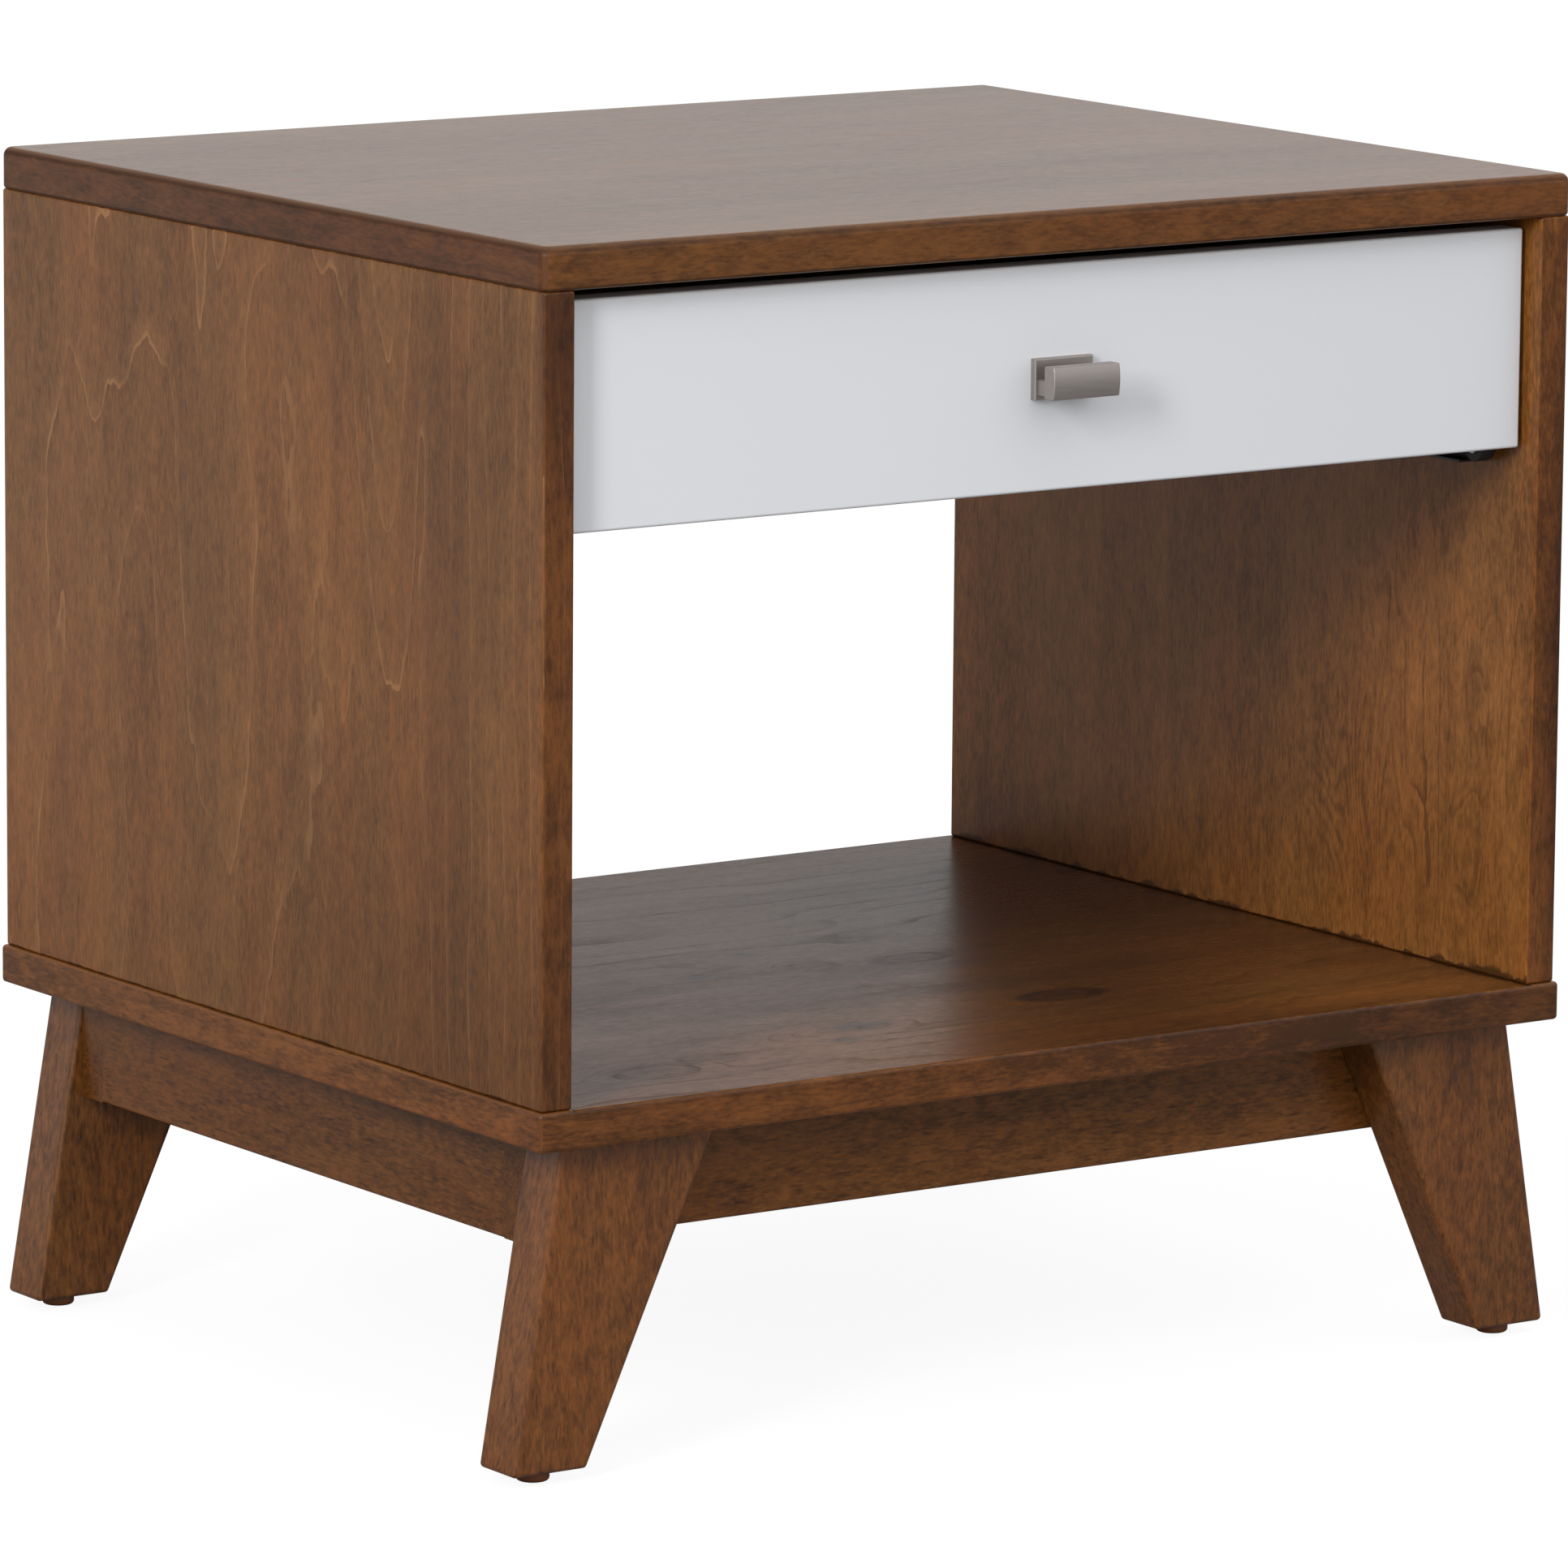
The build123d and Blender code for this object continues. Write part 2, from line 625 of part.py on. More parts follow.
for side_name, side in SIDES.items():
    with BuildPart() as cabinet_runner:
        with BuildSketch(Plane.XZ.offset(-channel_rear_y)):
            with BuildLine():
                Polyline(
                    (out_x(side, 0), channel_bottom_z),
                    (out_x(side, channel_out), channel_bottom_z),
                    (out_x(side, channel_out), channel_bottom_z + runner_sheet),
                    (out_x(side, runner_sheet), channel_bottom_z + runner_sheet),
                    (out_x(side, runner_sheet), channel_top_z - runner_sheet),
                    (out_x(side, channel_out), channel_top_z - runner_sheet),
                    (out_x(side, channel_out), channel_top_z),
                    (out_x(side, 0), channel_top_z),
                    close=True,
                )
            make_face()
        extrude(amount=channel_rear_y - channel_front_y - front_roller_zone)
        with BuildSketch(Plane.XZ.offset(-channel_rear_y)):
            with Locations((out_x(side, channel_out / 2), rear_roller_z)):
                Rectangle(channel_out, channel_top_z - channel_bottom_z)
        extrude(amount=runner_sheet)
        with BuildSketch(Plane.YZ.offset(out_x(side, 0))):
            nose_radius = front_roller_diameter / 2 - runner_nose_inset
            nose_length = front_roller_zone / 2
            with Locations((front_roller_y, front_roller_z)):
                Circle(nose_radius)
            with Locations((front_roller_y + nose_length / 2, front_roller_z)):
                Rectangle(nose_length, 2 * nose_radius)
        extrude(amount=-side * runner_sheet)
        points = cabinet_screw_points(side, runner_sheet)
        screw_hole(points, (-side, 0, 0), runner_screw_diameter, runner_sheet)
        points = [(out_x(side, runner_sheet), front_roller_y, front_roller_z)]
        screw_hole(points, (-side, 0, 0), rivet_diameter, runner_sheet)
    write(cabinet_runner, f"{side_name}_cabinet_runner")

    with BuildPart() as drawer_runner:
        with BuildSketch(Plane.XZ.offset(-box_rear_y)):
            with BuildLine():
                Polyline(
                    (out_x(side, flange_end_out), flange_bottom_z),
                    (out_x(side, drawer_web_out), flange_bottom_z),
                    (out_x(side, drawer_web_out), track_bottom_z),
                    (out_x(side, track_wall_gap), track_bottom_z),
                    (out_x(side, track_wall_gap), track_bottom_z + runner_sheet),
                    (out_x(side, runner_space), track_bottom_z + runner_sheet),
                    (out_x(side, runner_space), box_bottom_z),
                    (out_x(side, flange_end_out), box_bottom_z),
                    close=True,
                )
            make_face()
        extrude(amount=box_rear_y - box_front_y)
        with BuildSketch(Plane.XZ.offset(-box_rear_y)):
            ear_middle_z = (ear_bottom_z + track_bottom_z) / 2
            with Locations((out_x(side, runner_space - runner_sheet / 2), ear_middle_z)):
                Rectangle(runner_sheet, track_bottom_z - ear_bottom_z)
        extrude(amount=box_rear_y - ear_front_y)
        points = drawer_screw_points(side, flange_bottom_z)
        screw_hole(points, (0, 0, -1), runner_screw_diameter, runner_sheet)
        points = [(out_x(side, drawer_web_out), rear_roller_y, rear_roller_z)]
        screw_hole(points, (side, 0, 0), rivet_diameter, runner_sheet)
    write(drawer_runner, f"{side_name}_drawer_runner")

    front_span = (front_roller_start_out, front_roller_end_out)
    rear_span = (rear_roller_start_out, rear_roller_end_out)
    rollers = {
        "front": (front_roller_diameter, front_roller_y, front_roller_z, front_span),
        "rear": (rear_roller_diameter, rear_roller_y, rear_roller_z, rear_span),
    }
    for end_name, (diameter, y, z, (start_out, end_out)) in rollers.items():
        width = end_out - start_out
        with BuildPart() as roller:
            with spots([(out_x(side, start_out), y, z)], (-side, 0, 0)):
                Cylinder(diameter / 2, width, align=(Align.CENTER, Align.CENTER, Align.MIN))
            fillet(roller.edges().filter_by(GeomType.CIRCLE), roller_edge_radius)
            with spots([(out_x(side, end_out), y, z)], (-side, 0, 0)):
                Hole(rivet_diameter / 2 + roller_bore_clearance, width)
        write(roller, f"{side_name}_{end_name}_roller")


with BuildPart() as front_roller_rivets:
    for side in SIDES.values():
        put_flat_heads(
            [(out_x(side, front_rivet_seat_out), front_roller_y, front_roller_z)],
            (-side, 0, 0),
            rivet_diameter,
            front_rivet_seat_out,
            rivet_head_diameter,
            rivet_head_height,
        )
write(front_roller_rivets, "front_roller_rivets")

with BuildPart() as rear_roller_rivets:
    for side in SIDES.values():
        put_flat_heads(
            [(out_x(side, rear_rivet_seat_out), rear_roller_y, rear_roller_z)],
            (side, 0, 0),
            rivet_diameter,
            runner_space - rear_rivet_seat_out,
            rivet_head_diameter,
            rivet_head_height,
        )
write(rear_roller_rivets, "rear_roller_rivets")

runner_screw_sizes = (
    runner_screw_diameter,
    runner_sheet + runner_screw_bite,
    runner_screw_head_diameter,
    runner_screw_head_height,
)

with BuildPart() as cabinet_runner_screws:
    for side in SIDES.values():
        put_screws(cabinet_screw_points(side, runner_sheet), (-side, 0, 0), *runner_screw_sizes)
write(cabinet_runner_screws, "cabinet_runner_screws")

with BuildPart() as drawer_runner_screws:
    for side in SIDES.values():
        put_screws(drawer_screw_points(side, flange_bottom_z), (0, 0, -1), *runner_screw_sizes)
write(drawer_runner_screws, "drawer_runner_screws")

# Drawer


def cut_groove():
    """Cut the groove that holds the drawer's bottom board, all the way round."""
    with BuildSketch(Plane.XY.offset(groove_bottom_z)) as groove:
        with Locations((0, box_middle_y)):
            Rectangle(
                2 * (box_inner_x + drawer_groove_depth),
                box_inner_length + 2 * drawer_groove_depth,
            )
    extrude(groove.sketch, amount=groove_height, mode=Mode.SUBTRACT)


with BuildPart() as drawer_front:
    with BuildSketch(Plane.XZ.offset(-box_front_y)):
        with Locations((0, pull_middle_z)):
            Rectangle(2 * (side_inner_x - drawer_front_side_gap), drawer_front_height)
    extrude(amount=drawer_front_thickness)
    fillet(drawer_front.edges(), drawer_front_edge_radius)
    points = [(x, box_front_y, z) for x, _, z in front_screw_points]
    screw_hole(points, (0, 1, 0), front_screw_diameter, front_screw_bite + screw_end_room)
    points = [(x, box_front_y, z) for x, _, z in pull_screw_points]
    screw_hole(points, (0, 1, 0), pull_screw_diameter, drawer_front_thickness)
write(drawer_front, "drawer_front")

box_ends = {
    "drawer_inner_front": (ENDS["front"], box_inner_front_y),
    "drawer_back": (ENDS["rear"], box_rear_y),
}
for end_name, (end, end_rear_y) in box_ends.items():
    with BuildPart() as box_end:
        with BuildSketch(Plane.XZ.offset(-end_rear_y)):
            with Locations((0, box_middle_z)):
                Rectangle(2 * box_inner_x, drawer_box_height)
        extrude(amount=drawer_end_thickness)
        fillet(box_end.edges().group_by(Axis.Z)[-1].filter_by(Axis.X), drawer_rim_radius)
        cut_groove()
        for side in SIDES.values():
            points = box_dowel_points(side, end)
            dowel_depth = drawer_dowel_length - drawer_dowel_bite
            dowel_hole(points, (side, 0, 0), drawer_dowel_diameter, dowel_depth)
        if end == ENDS["front"]:
            screw_hole(front_screw_points, (0, 1, 0), front_screw_diameter, drawer_end_thickness)
            screw_hole(pull_screw_points, (0, 1, 0), pull_screw_diameter, drawer_end_thickness)
    write(box_end, end_name)

for side_name, side in SIDES.items():
    with BuildPart() as box_side:
        with BuildSketch(Plane.XY.offset(box_bottom_z)):
            with Locations((side * (box_inner_x + drawer_side_thickness / 2), box_middle_y)):
                Rectangle(drawer_side_thickness, box_length)
        extrude(amount=drawer_box_height)
        fillet(box_side.edges().group_by(Axis.Z)[-1].filter_by(Axis.Y), drawer_rim_radius)
        cut_groove()
        for end in ENDS.values():
            points = box_dowel_points(side, end)
            dowel_hole(points, (-side, 0, 0), drawer_dowel_diameter, drawer_dowel_bite)
        points = drawer_screw_points(side, box_bottom_z)
        screw_hole(points, (0, 0, -1), runner_screw_diameter, runner_screw_bite + screw_end_room)
    write(box_side, f"drawer_{side_name}_side")

with BuildPart() as drawer_bottom:
    groove_fit = drawer_groove_depth - drawer_groove_clearance
    with BuildSketch(Plane.XY.offset(box_bottom_z + drawer_bottom_lift)):
        with Locations((0, box_middle_y)):
            Rectangle(2 * (box_inner_x + groove_fit), box_inner_length + 2 * groove_fit)
    extrude(amount=drawer_bottom_thickness)
write(drawer_bottom, "drawer_bottom")

with BuildPart() as drawer_dowels:
    for side in SIDES.values():
        for end in ENDS.values():
            put_dowels(
                box_dowel_points(side, end),
                (-side, 0, 0),
                drawer_dowel_diameter,
                drawer_dowel_length,
                drawer_dowel_bite,
            )
    chamfer_dowels(drawer_dowels)
write(drawer_dowels, "drawer_dowels")

with BuildPart() as drawer_front_screws:
    put_screws(
        front_screw_points,
        (0, 1, 0),
        front_screw_diameter,
        drawer_end_thickness + front_screw_bite,
        front_screw_head_diameter,
        front_screw_head_height,
    )
write(drawer_front_screws, "drawer_front_screws")

with BuildPart() as drawer_pull:
    with BuildSketch(Plane.YZ.offset(-pull_tab_width / 2)):
        tab_top_z = tab_bottom_z + pull_tab_height
        tab_corner_y = tab_front_y + pull_tab_bulge
        with BuildLine():
            Polyline(
                (tab_corner_y, tab_bottom_z),
                (tab_rear_y, tab_bottom_z),
                (tab_rear_y, tab_top_z),
                (tab_corner_y, tab_top_z),
            )
            ThreePointArc(
                (tab_corner_y, tab_top_z),
                (tab_front_y, (tab_bottom_z + tab_top_z) / 2),
                (tab_corner_y, tab_bottom_z),
            )
        make_face()
    extrude(amount=pull_tab_width)
    fillet(drawer_pull.edges(), pull_tab_radius)
    with BuildSketch(Plane.XZ.offset(-front_face_y)):
        with Locations((0, pull_middle_z)):
            Rectangle(pull_plate_width, pull_plate_height)
    plate = extrude(amount=pull_plate_thickness)
    fillet(plate.faces().sort_by(Axis.Y)[0].edges(), pull_plate_radius)
    with BuildSketch(Plane.XZ.offset(-plate_front_y)):
        with Locations((0, web_middle_z)):
            Rectangle(pull_plate_width - 2 * pull_web_inset, pull_web_height)
    extrude(amount=pull_gap)
    points = [(x, front_face_y, z) for x, _, z in pull_screw_points]
    screw_hole(points, (0, 1, 0), pull_screw_diameter, pull_screw_bite + screw_end_room)
write(drawer_pull, "drawer_pull")

with BuildPart() as pull_screws:
    put_screws(
        pull_screw_points,
        (0, 1, 0),
        pull_screw_diameter,
        drawer_end_thickness + drawer_front_thickness + pull_screw_bite,
        pull_screw_head_diameter,
        pull_screw_head_height,
    )
write(pull_screws, "pull_screws")
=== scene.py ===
"""Finishes for a side table with one drawer: stained wood, white lacquer, plated metal and a pale stage."""
import math

import bpy
from bpy.props import FloatProperty, FloatVectorProperty, PointerProperty
from mathutils import Matrix, Vector


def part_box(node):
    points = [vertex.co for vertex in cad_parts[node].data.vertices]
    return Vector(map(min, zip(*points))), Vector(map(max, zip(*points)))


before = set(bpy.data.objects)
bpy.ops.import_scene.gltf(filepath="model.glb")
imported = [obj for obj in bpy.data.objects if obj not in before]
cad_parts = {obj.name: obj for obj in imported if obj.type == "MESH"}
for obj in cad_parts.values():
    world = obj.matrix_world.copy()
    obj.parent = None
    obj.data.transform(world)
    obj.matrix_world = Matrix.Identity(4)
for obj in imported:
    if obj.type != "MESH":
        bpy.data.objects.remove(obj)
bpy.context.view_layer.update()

bl_info = {
    "name": "Side table finishes",
    "version": (1, 0, 0),
    "blender": (4, 5, 0),
    "location": "3D View > Sidebar > Side table",
    "description": "Wood, lacquer and metal finishes for a side table with one drawer, with its stage",
    "category": "Object",
}

SIDES = ("left", "right")
ENDS = ("front", "rear")
CORNERS = tuple(f"{end}_{side}" for end in ENDS for side in SIDES)

# Turns that lay the grain along an axis
QUARTER = math.pi / 2
ALONG_X = (0.0, QUARTER, 0.0)
ALONG_Y = (-QUARTER, 0.0, 0.0)
ALONG_Z = (0.0, 0.0, 0.0)

# Faces and joints of the boards, from the frame
LEFT_LOW, LEFT_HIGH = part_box("left_side_panel")
RIGHT_LOW, RIGHT_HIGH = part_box("right_side_panel")
SHELF_LOW, SHELF_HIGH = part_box("bottom_panel")
SHELF_JOINT = SHELF_HIGH.z
TOP_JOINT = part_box("top_panel")[0].z

# Stain and lacquer on the wood, and painted shade in its joints and on some patches: tints multiply the
# colour, and solid wood is tinted as the edges are
SOLID_TINT = (1.0, 0.91, 0.88)
END_TINT = (1.0, 0.95, 0.95)
# MARK_TINT darkens knots and patches; the shelf's back right patch and the right board's back corner patch
# are painted shade
MARK_TINT = (0.30, 0.245, 0.21)
FLECK_TINT = (0.45, 0.40, 0.36)
COOL_BAND = (0.97, 1.03, 1.08)
WARM_BAND = (1.03, 0.98, 0.93)
DARK_LINE = 0.5
FACE_SPECKLE = 1.1
EDGE_SPECKLE = 2.4
SHEEN_SPREAD = 0.04
LINE_DULLNESS = 0.3
KNOT_DULLNESS = 0.12
KNOT_RELIEF = -0.5
EDGE_ROUGHNESS = 0.4
ROUND_ROUGHNESS = 0.65
BIRCH_ROUGHNESS = 0.42
RUBBED_WIDTH = 0.0014
RUBBED_SHARE = 0.14
RUBBED_SHADE = 1.2
# Painted shade along the joints: how much of it shows in the joint, and the tone it darkens to
JOINT_SHADE_SHARE = 0.8
JOINT_SHADE_TONE = 0.22
PORE_STRENGTH = 0.12

# Heights of the relief on lacquered and on bare surfaces
LACQUER_RELIEF = 0.0002
BARE_RELIEF = 0.0001

# Stage
FLOOR_DROP = 0.0003
PAPER_FADE = 3.0
PAPER_ROUGHNESS = 0.9
SENSOR_WIDTH = 36.0
CLIP_END = 200.0


def colour(name, description, default):
    return FloatVectorProperty(
        name=name, description=description, default=default, size=3, min=0.0, max=1.0, subtype="COLOR"
    )


def amount(name, description, default, top=1.0):
    return FloatProperty(name=name, description=description, default=default, min=0.0, max=top)


def length(name, description, default):
    return FloatProperty(
        name=name, description=description, default=default, min=0.0, unit="LENGTH", precision=4
    )


def angle(name, description, degrees):
    return FloatProperty(
        name=name, description=description, default=math.radians(degrees), subtype="ANGLE", unit="ROTATION"
    )


class SIDETABLE_PG_finish(bpy.types.PropertyGroup):
    """Colours and sheens of the table's materials."""

    stain_deep: colour("Deep stain", "Wood where it took up the most stain", (0.082, 0.0292, 0.0052))
    stain_pale: colour("Pale stain", "Wood where it took up the least stain", (0.215, 0.0800, 0.0168))
    stain_line: colour("Ring line", "Pale lines where the growth rings meet the face", (0.36, 0.175, 0.070))
    wood_sheen: amount("Wood roughness", "Roughness of the satin lacquer on the stained wood", 0.3)
    birch_deep: colour("Deep birch", "Darker streaks of the drawer box", (0.50, 0.33, 0.17))
    birch_pale: colour("Pale birch", "Ground colour of the drawer box", (0.74, 0.56, 0.36))
    birch_line: colour("Birch line", "Ring lines of the drawer box", (0.58, 0.38, 0.20))
    white: colour("White lacquer", "Drawer front", (0.765, 0.78, 0.81))
    white_sheen: amount("White roughness", "Roughness of the drawer front", 0.34)
    nickel: colour("Nickel", "Plating of the pull", (0.46, 0.415, 0.39))
    zinc: colour("Zinc", "Plating of the screws, nails and rivets", (0.55, 0.55, 0.53))
    black_coat: colour("Black coat", "Epoxy coat of the runners", (0.020, 0.020, 0.021))
    nylon: colour("Nylon", "Rollers", (0.025, 0.025, 0.026))
    glide: colour("Glide plastic", "Foot glides", (0.18, 0.054, 0.012))


class SIDETABLE_PG_stage(bpy.types.PropertyGroup):
    """Camera, lights and floor."""

    camera_azimuth: angle("Camera azimuth", "Turn of the camera, from straight in front", -34.5533)
    camera_elevation: angle("Camera elevation", "Height of the camera above the horizon", 9.898)
    camera_roll: angle("Camera roll", "Tilt of the camera about its own axis", 0.4512)
    camera_distance: length("Camera distance", "From the aim to the camera", 5.20969)
    camera_lens: FloatProperty(
        name="Focal length", description="Lens of the camera", default=226.77, min=1.0, unit="CAMERA"
    )
    aim: FloatVectorProperty(
        name="Aim",
        description="Point in the middle of the picture",
        default=(0.00172, -0.00466, 0.28862),
        size=3,
        subtype="TRANSLATION",
        unit="LENGTH",
    )
    key_azimuth: angle("Key azimuth", "Turn of the key light, from straight in front", -61.0)
    key_elevation: angle("Key elevation", "Height of the key light above the horizon", 24.0)
    key_distance: length("Key distance", "From the aim to the key light", 4.0)
    key_width: length("Key width", "Width of the key light", 0.7)
    key_height: length("Key height", "Height of the key light", 1.4)
    key_power: FloatProperty(
        name="Key power", description="Power of the key light", default=74.0, unit="POWER"
    )
    sky_azimuth: angle("Sky azimuth", "Turn of the sky's brightest part, from straight in front", 10.0)
    sky_elevation: angle("Sky elevation", "Height of the sky's brightest part above the horizon", 45.0)
    sky_low: amount("Dim sky", "Strength of the soft light from behind and from the sides", 0.5, 5.0)
    sky_high: amount("Bright sky", "Strength of the soft light from the sky's brightest part", 1.15, 5.0)
    floor: colour("Floor", "Paper under the table", (0.12, 0.12, 0.12))
    floor_glow: amount("Floor glow", "Light that whitens the paper", 0.92)
    floor_front: amount("Floor in front", "Light that the paper in front of the table gives back", 0.3)
    floor_back: amount("Floor behind", "Light that the paper behind the table gives back", 0.8)
    floor_size: length("Floor size", "Width of the paper", 60.0)


def finish():
    return bpy.context.scene.side_table_finish


def times(tint, by):
    return tuple(part * by for part in tint)


def feed(tree, socket, value):
    """Links a socket, or sets a number or colour, on an input."""
    if isinstance(value, bpy.types.NodeSocket):
        tree.links.new(value, socket)
    elif socket.type == "RGBA" and len(value) == 3:
        socket.default_value = (*value, 1.0)
    else:
        socket.default_value = value


def add(tree, kind, label, feeds=None, **settings):
    """Adds a node with its label, settings and inputs."""
    made = tree.nodes.new("ShaderNode" + kind)
    made.label = label
    for name, value in settings.items():
        setattr(made, name, value)
    for name, value in (feeds or {}).items():
        feed(tree, made.inputs[name], value)
    return made


def sums(tree, operation, label, *values, clamp=False):
    """A Math node's result."""
    made = add(tree, "Math", label, dict(enumerate(values)), operation=operation, use_clamp=clamp)
    return made.outputs[0]


def vectors(tree, operation, label, *values):
    """A Vector Math node's vector result."""
    made = add(tree, "VectorMath", label, dict(enumerate(values)), operation=operation)
    return made.outputs["Vector"]


def vector_length(tree, label, vector):
    """The length of a vector."""
    return add(tree, "VectorMath", label, {0: vector}, operation="LENGTH").outputs["Value"]


def axes(tree, label, vector):
    """The three parts of a vector."""
    return add(tree, "SeparateXYZ", label, {0: vector}).outputs


def blend(tree, label, share, first, second, how="MIX"):
    """A colour Mix node's result."""
    made = add(tree, "Mix", label, data_type="RGBA", blend_type=how, clamp_factor=True)
    feed(tree, made.inputs[0], share)
    feed(tree, made.inputs[6], first)
    feed(tree, made.inputs[7], second)
    return made.outputs[2]


def shade(tree, label, share, surface, tint):
    """A surface multiplied by a tint on its share."""
    tinted = blend(tree, label + " tint", 1.0, surface, tint, "MULTIPLY")
    return blend(tree, label, share, surface, tinted)


def ease(tree, label, share, first, last):
    """A value that goes from first to last with its share."""
    return add(tree, "Mix", label, {0: share, 2: first, 3: last}).outputs[0]


def step(tree, label, value, low, high, first=0.0, last=1.0):
    """A smooth step of a value from low to high."""
    feeds = {0: value, 1: low, 2: high, 3: first, 4: last}
    return add(tree, "MapRange", label, feeds, interpolation_type="SMOOTHSTEP").outputs[0]


def noise(tree, label, place, waves, detail=2.0, rough=0.5):
    """Noise about 0.5, with its waves per metre as one number or one for each axis."""
    stretch = waves if isinstance(waves, tuple) else (waves, waves, waves)
    spread = vectors(tree, "MULTIPLY", label + " stretch", place, stretch)
    feeds = {"Vector": spread, "Scale": 1.0, "Detail": detail, "Roughness": rough}
    return add(tree, "TexNoise", label, feeds).outputs["Fac"]


def new_group(name, takes, gives):
    """A shader node group with its named sockets."""
    tree = bpy.data.node_groups.new(name, "ShaderNodeTree")
    for socket, kind, default in takes:
        made = tree.interface.new_socket(socket, in_out="INPUT", socket_type="NodeSocket" + kind)
        made.default_value = default
    for socket, kind in gives:
        tree.interface.new_socket(socket, in_out="OUTPUT", socket_type="NodeSocket" + kind)
    source = tree.nodes.new("NodeGroupInput")
    result = tree.nodes.new("NodeGroupOutput")
    return tree, source.outputs, result.inputs


def group_node(tree, name, label, feeds):
    """A node group placed with its inputs: its outputs."""
    return add(tree, "Group", label, feeds, node_tree=bpy.data.node_groups[name]).outputs


def wood_grain():
    """Rings, fibres, speckle and blotches of a board with its grain along Z and its pith on the Z axis."""
    tree, takes, gives = new_group(
        "wood_grain",
        (
            ("Vector", "Vector", (0.0, 0.0, 0.0)),
            ("Seed", "Float", 0.0),
            ("Ring Spacing", "Float", 0.0127),
            ("Run-out", "Float", 0.01),
            ("Swell", "Float", 0.05),
            ("Notch", "Float", 0.03),
            ("Ragged", "Float", 0.13),
            ("Bulge", "Float", 0.0),
            ("Line Strength", "Float", 0.6),
            ("Line Sharpness", "Float", 1.0),
            ("Line Glow", "Float", 0.26),
            ("Fine Lines", "Float", 0.1),
            ("Fine Line Count", "Float", 5.0),
            ("Fine Line Cover", "Float", 0.0),
            ("Fibre Strength", "Float", 1.4),
            ("Speckle Strength", "Float", FACE_SPECKLE),
            ("Speckle Size", "Float", 1.0),
            ("Band Strength", "Float", 0.5),
            ("Blotch Strength", "Float", 0.8),
            ("Fleck Strength", "Float", 0.3),
            ("Deep", "Color", (0.1, 0.04, 0.02, 1.0)),
            ("Pale", "Color", (0.3, 0.13, 0.05, 1.0)),
            ("Line", "Color", (0.4, 0.2, 0.1, 1.0)),
        ),
        (("Color", "Color"), ("Tone", "Float"), ("Line", "Float"), ("Height", "Float")),
    )
    shift = vectors(tree, "MULTIPLY", "shift by seed", takes["Seed"], (3.17, 5.71, 1.93))
    place = vectors(tree, "ADD", "place", takes["Vector"], shift)

    def spread(label, across, along, detail, rough=0.5, spot=place):
        """Noise about zero, in waves per metre across and along the grain."""
        value = noise(tree, label, spot, (across, across, along), detail, rough)
        return sums(tree, "SUBTRACT", label + " about zero", value, 0.5)

    split = axes(tree, "axes", takes["Vector"])
    flat = add(tree, "CombineXYZ", "across the grain", {0: split[0], 1: split[1]}).outputs[0]
    radius = vector_length(tree, "radius", flat)
    radius = sums(tree, "MULTIPLY_ADD", "rings run out", split[2], takes["Run-out"], radius)
    swell = spread("swell of the rings", 7.0, 2.2, 1.0)
    radius = sums(tree, "MULTIPLY_ADD", "swollen rings", swell, takes["Swell"], radius)
    notch = spread("notches of the rings", 30.0, 5.5, 1.5)
    radius = sums(tree, "MULTIPLY_ADD", "notched rings", notch, takes["Notch"], radius)
    radius = sums(tree, "ADD", "bulged rings", radius, takes["Bulge"])
    phase = sums(tree, "DIVIDE", "ring count", radius, takes["Ring Spacing"])
    ragged = spread("ragged rings", 120.0, 40.0, 2.0)
    phase = sums(tree, "MULTIPLY_ADD", "ragged ring count", ragged, takes["Ragged"], phase)
    ring = sums(tree, "FLOOR", "ring number", phase)
    part = sums(tree, "FRACT", "part of a ring", phase)
    own = add(tree, "TexWhiteNoise", "ring's own chance", {"W": ring}, noise_dimensions="1D")
    crisp = step(tree, "sharp side of a ring", part, 0.012, 0.05, 1.0, 0.0)
    crisp = sums(tree, "MULTIPLY", "line sharpness", crisp, takes["Line Sharpness"])
    glow = step(tree, "soft side of a ring", part, 0.0, 0.25, 1.0, 0.0)
    glow = sums(tree, "MULTIPLY", "line glow", glow, takes["Line Glow"])
    line = sums(tree, "MAXIMUM", "ring line", crisp, glow)
    chosen = step(tree, "rings that show", own.outputs["Value"], 0.1, 0.6, 0.5, 1.0)
    fading = spread("fading of the lines", 34.0, 17.0, 3.0, 0.6)
    fade = step(tree, "where lines show", fading, -0.12, 0.1, 0.3)
    line = sums(tree, "MULTIPLY", "chosen lines", line, chosen)
    line = sums(tree, "MULTIPLY", "fading lines", line, fade)
    line = sums(tree, "MULTIPLY", "line strength", line, takes["Line Strength"], clamp=True)
    close = sums(tree, "MULTIPLY", "close ring count", phase, takes["Fine Line Count"])
    close = sums(tree, "PINGPONG", "there and back", close, 0.5)
    close = step(tree, "close ring lines", close, 0.0, 0.3, 1.0, 0.0)
    cover = spread("patches of close rings", 16.0, 8.0, 2.0)
    cover = sums(tree, "ADD", "cover", cover, takes["Fine Line Cover"])
    patch = step(tree, "where close rings show", cover, -0.08, 0.1)
    close = sums(tree, "MULTIPLY", "close rings in patches", close, patch)
    close = sums(tree, "MULTIPLY", "close ring strength", close, takes["Fine Lines"])

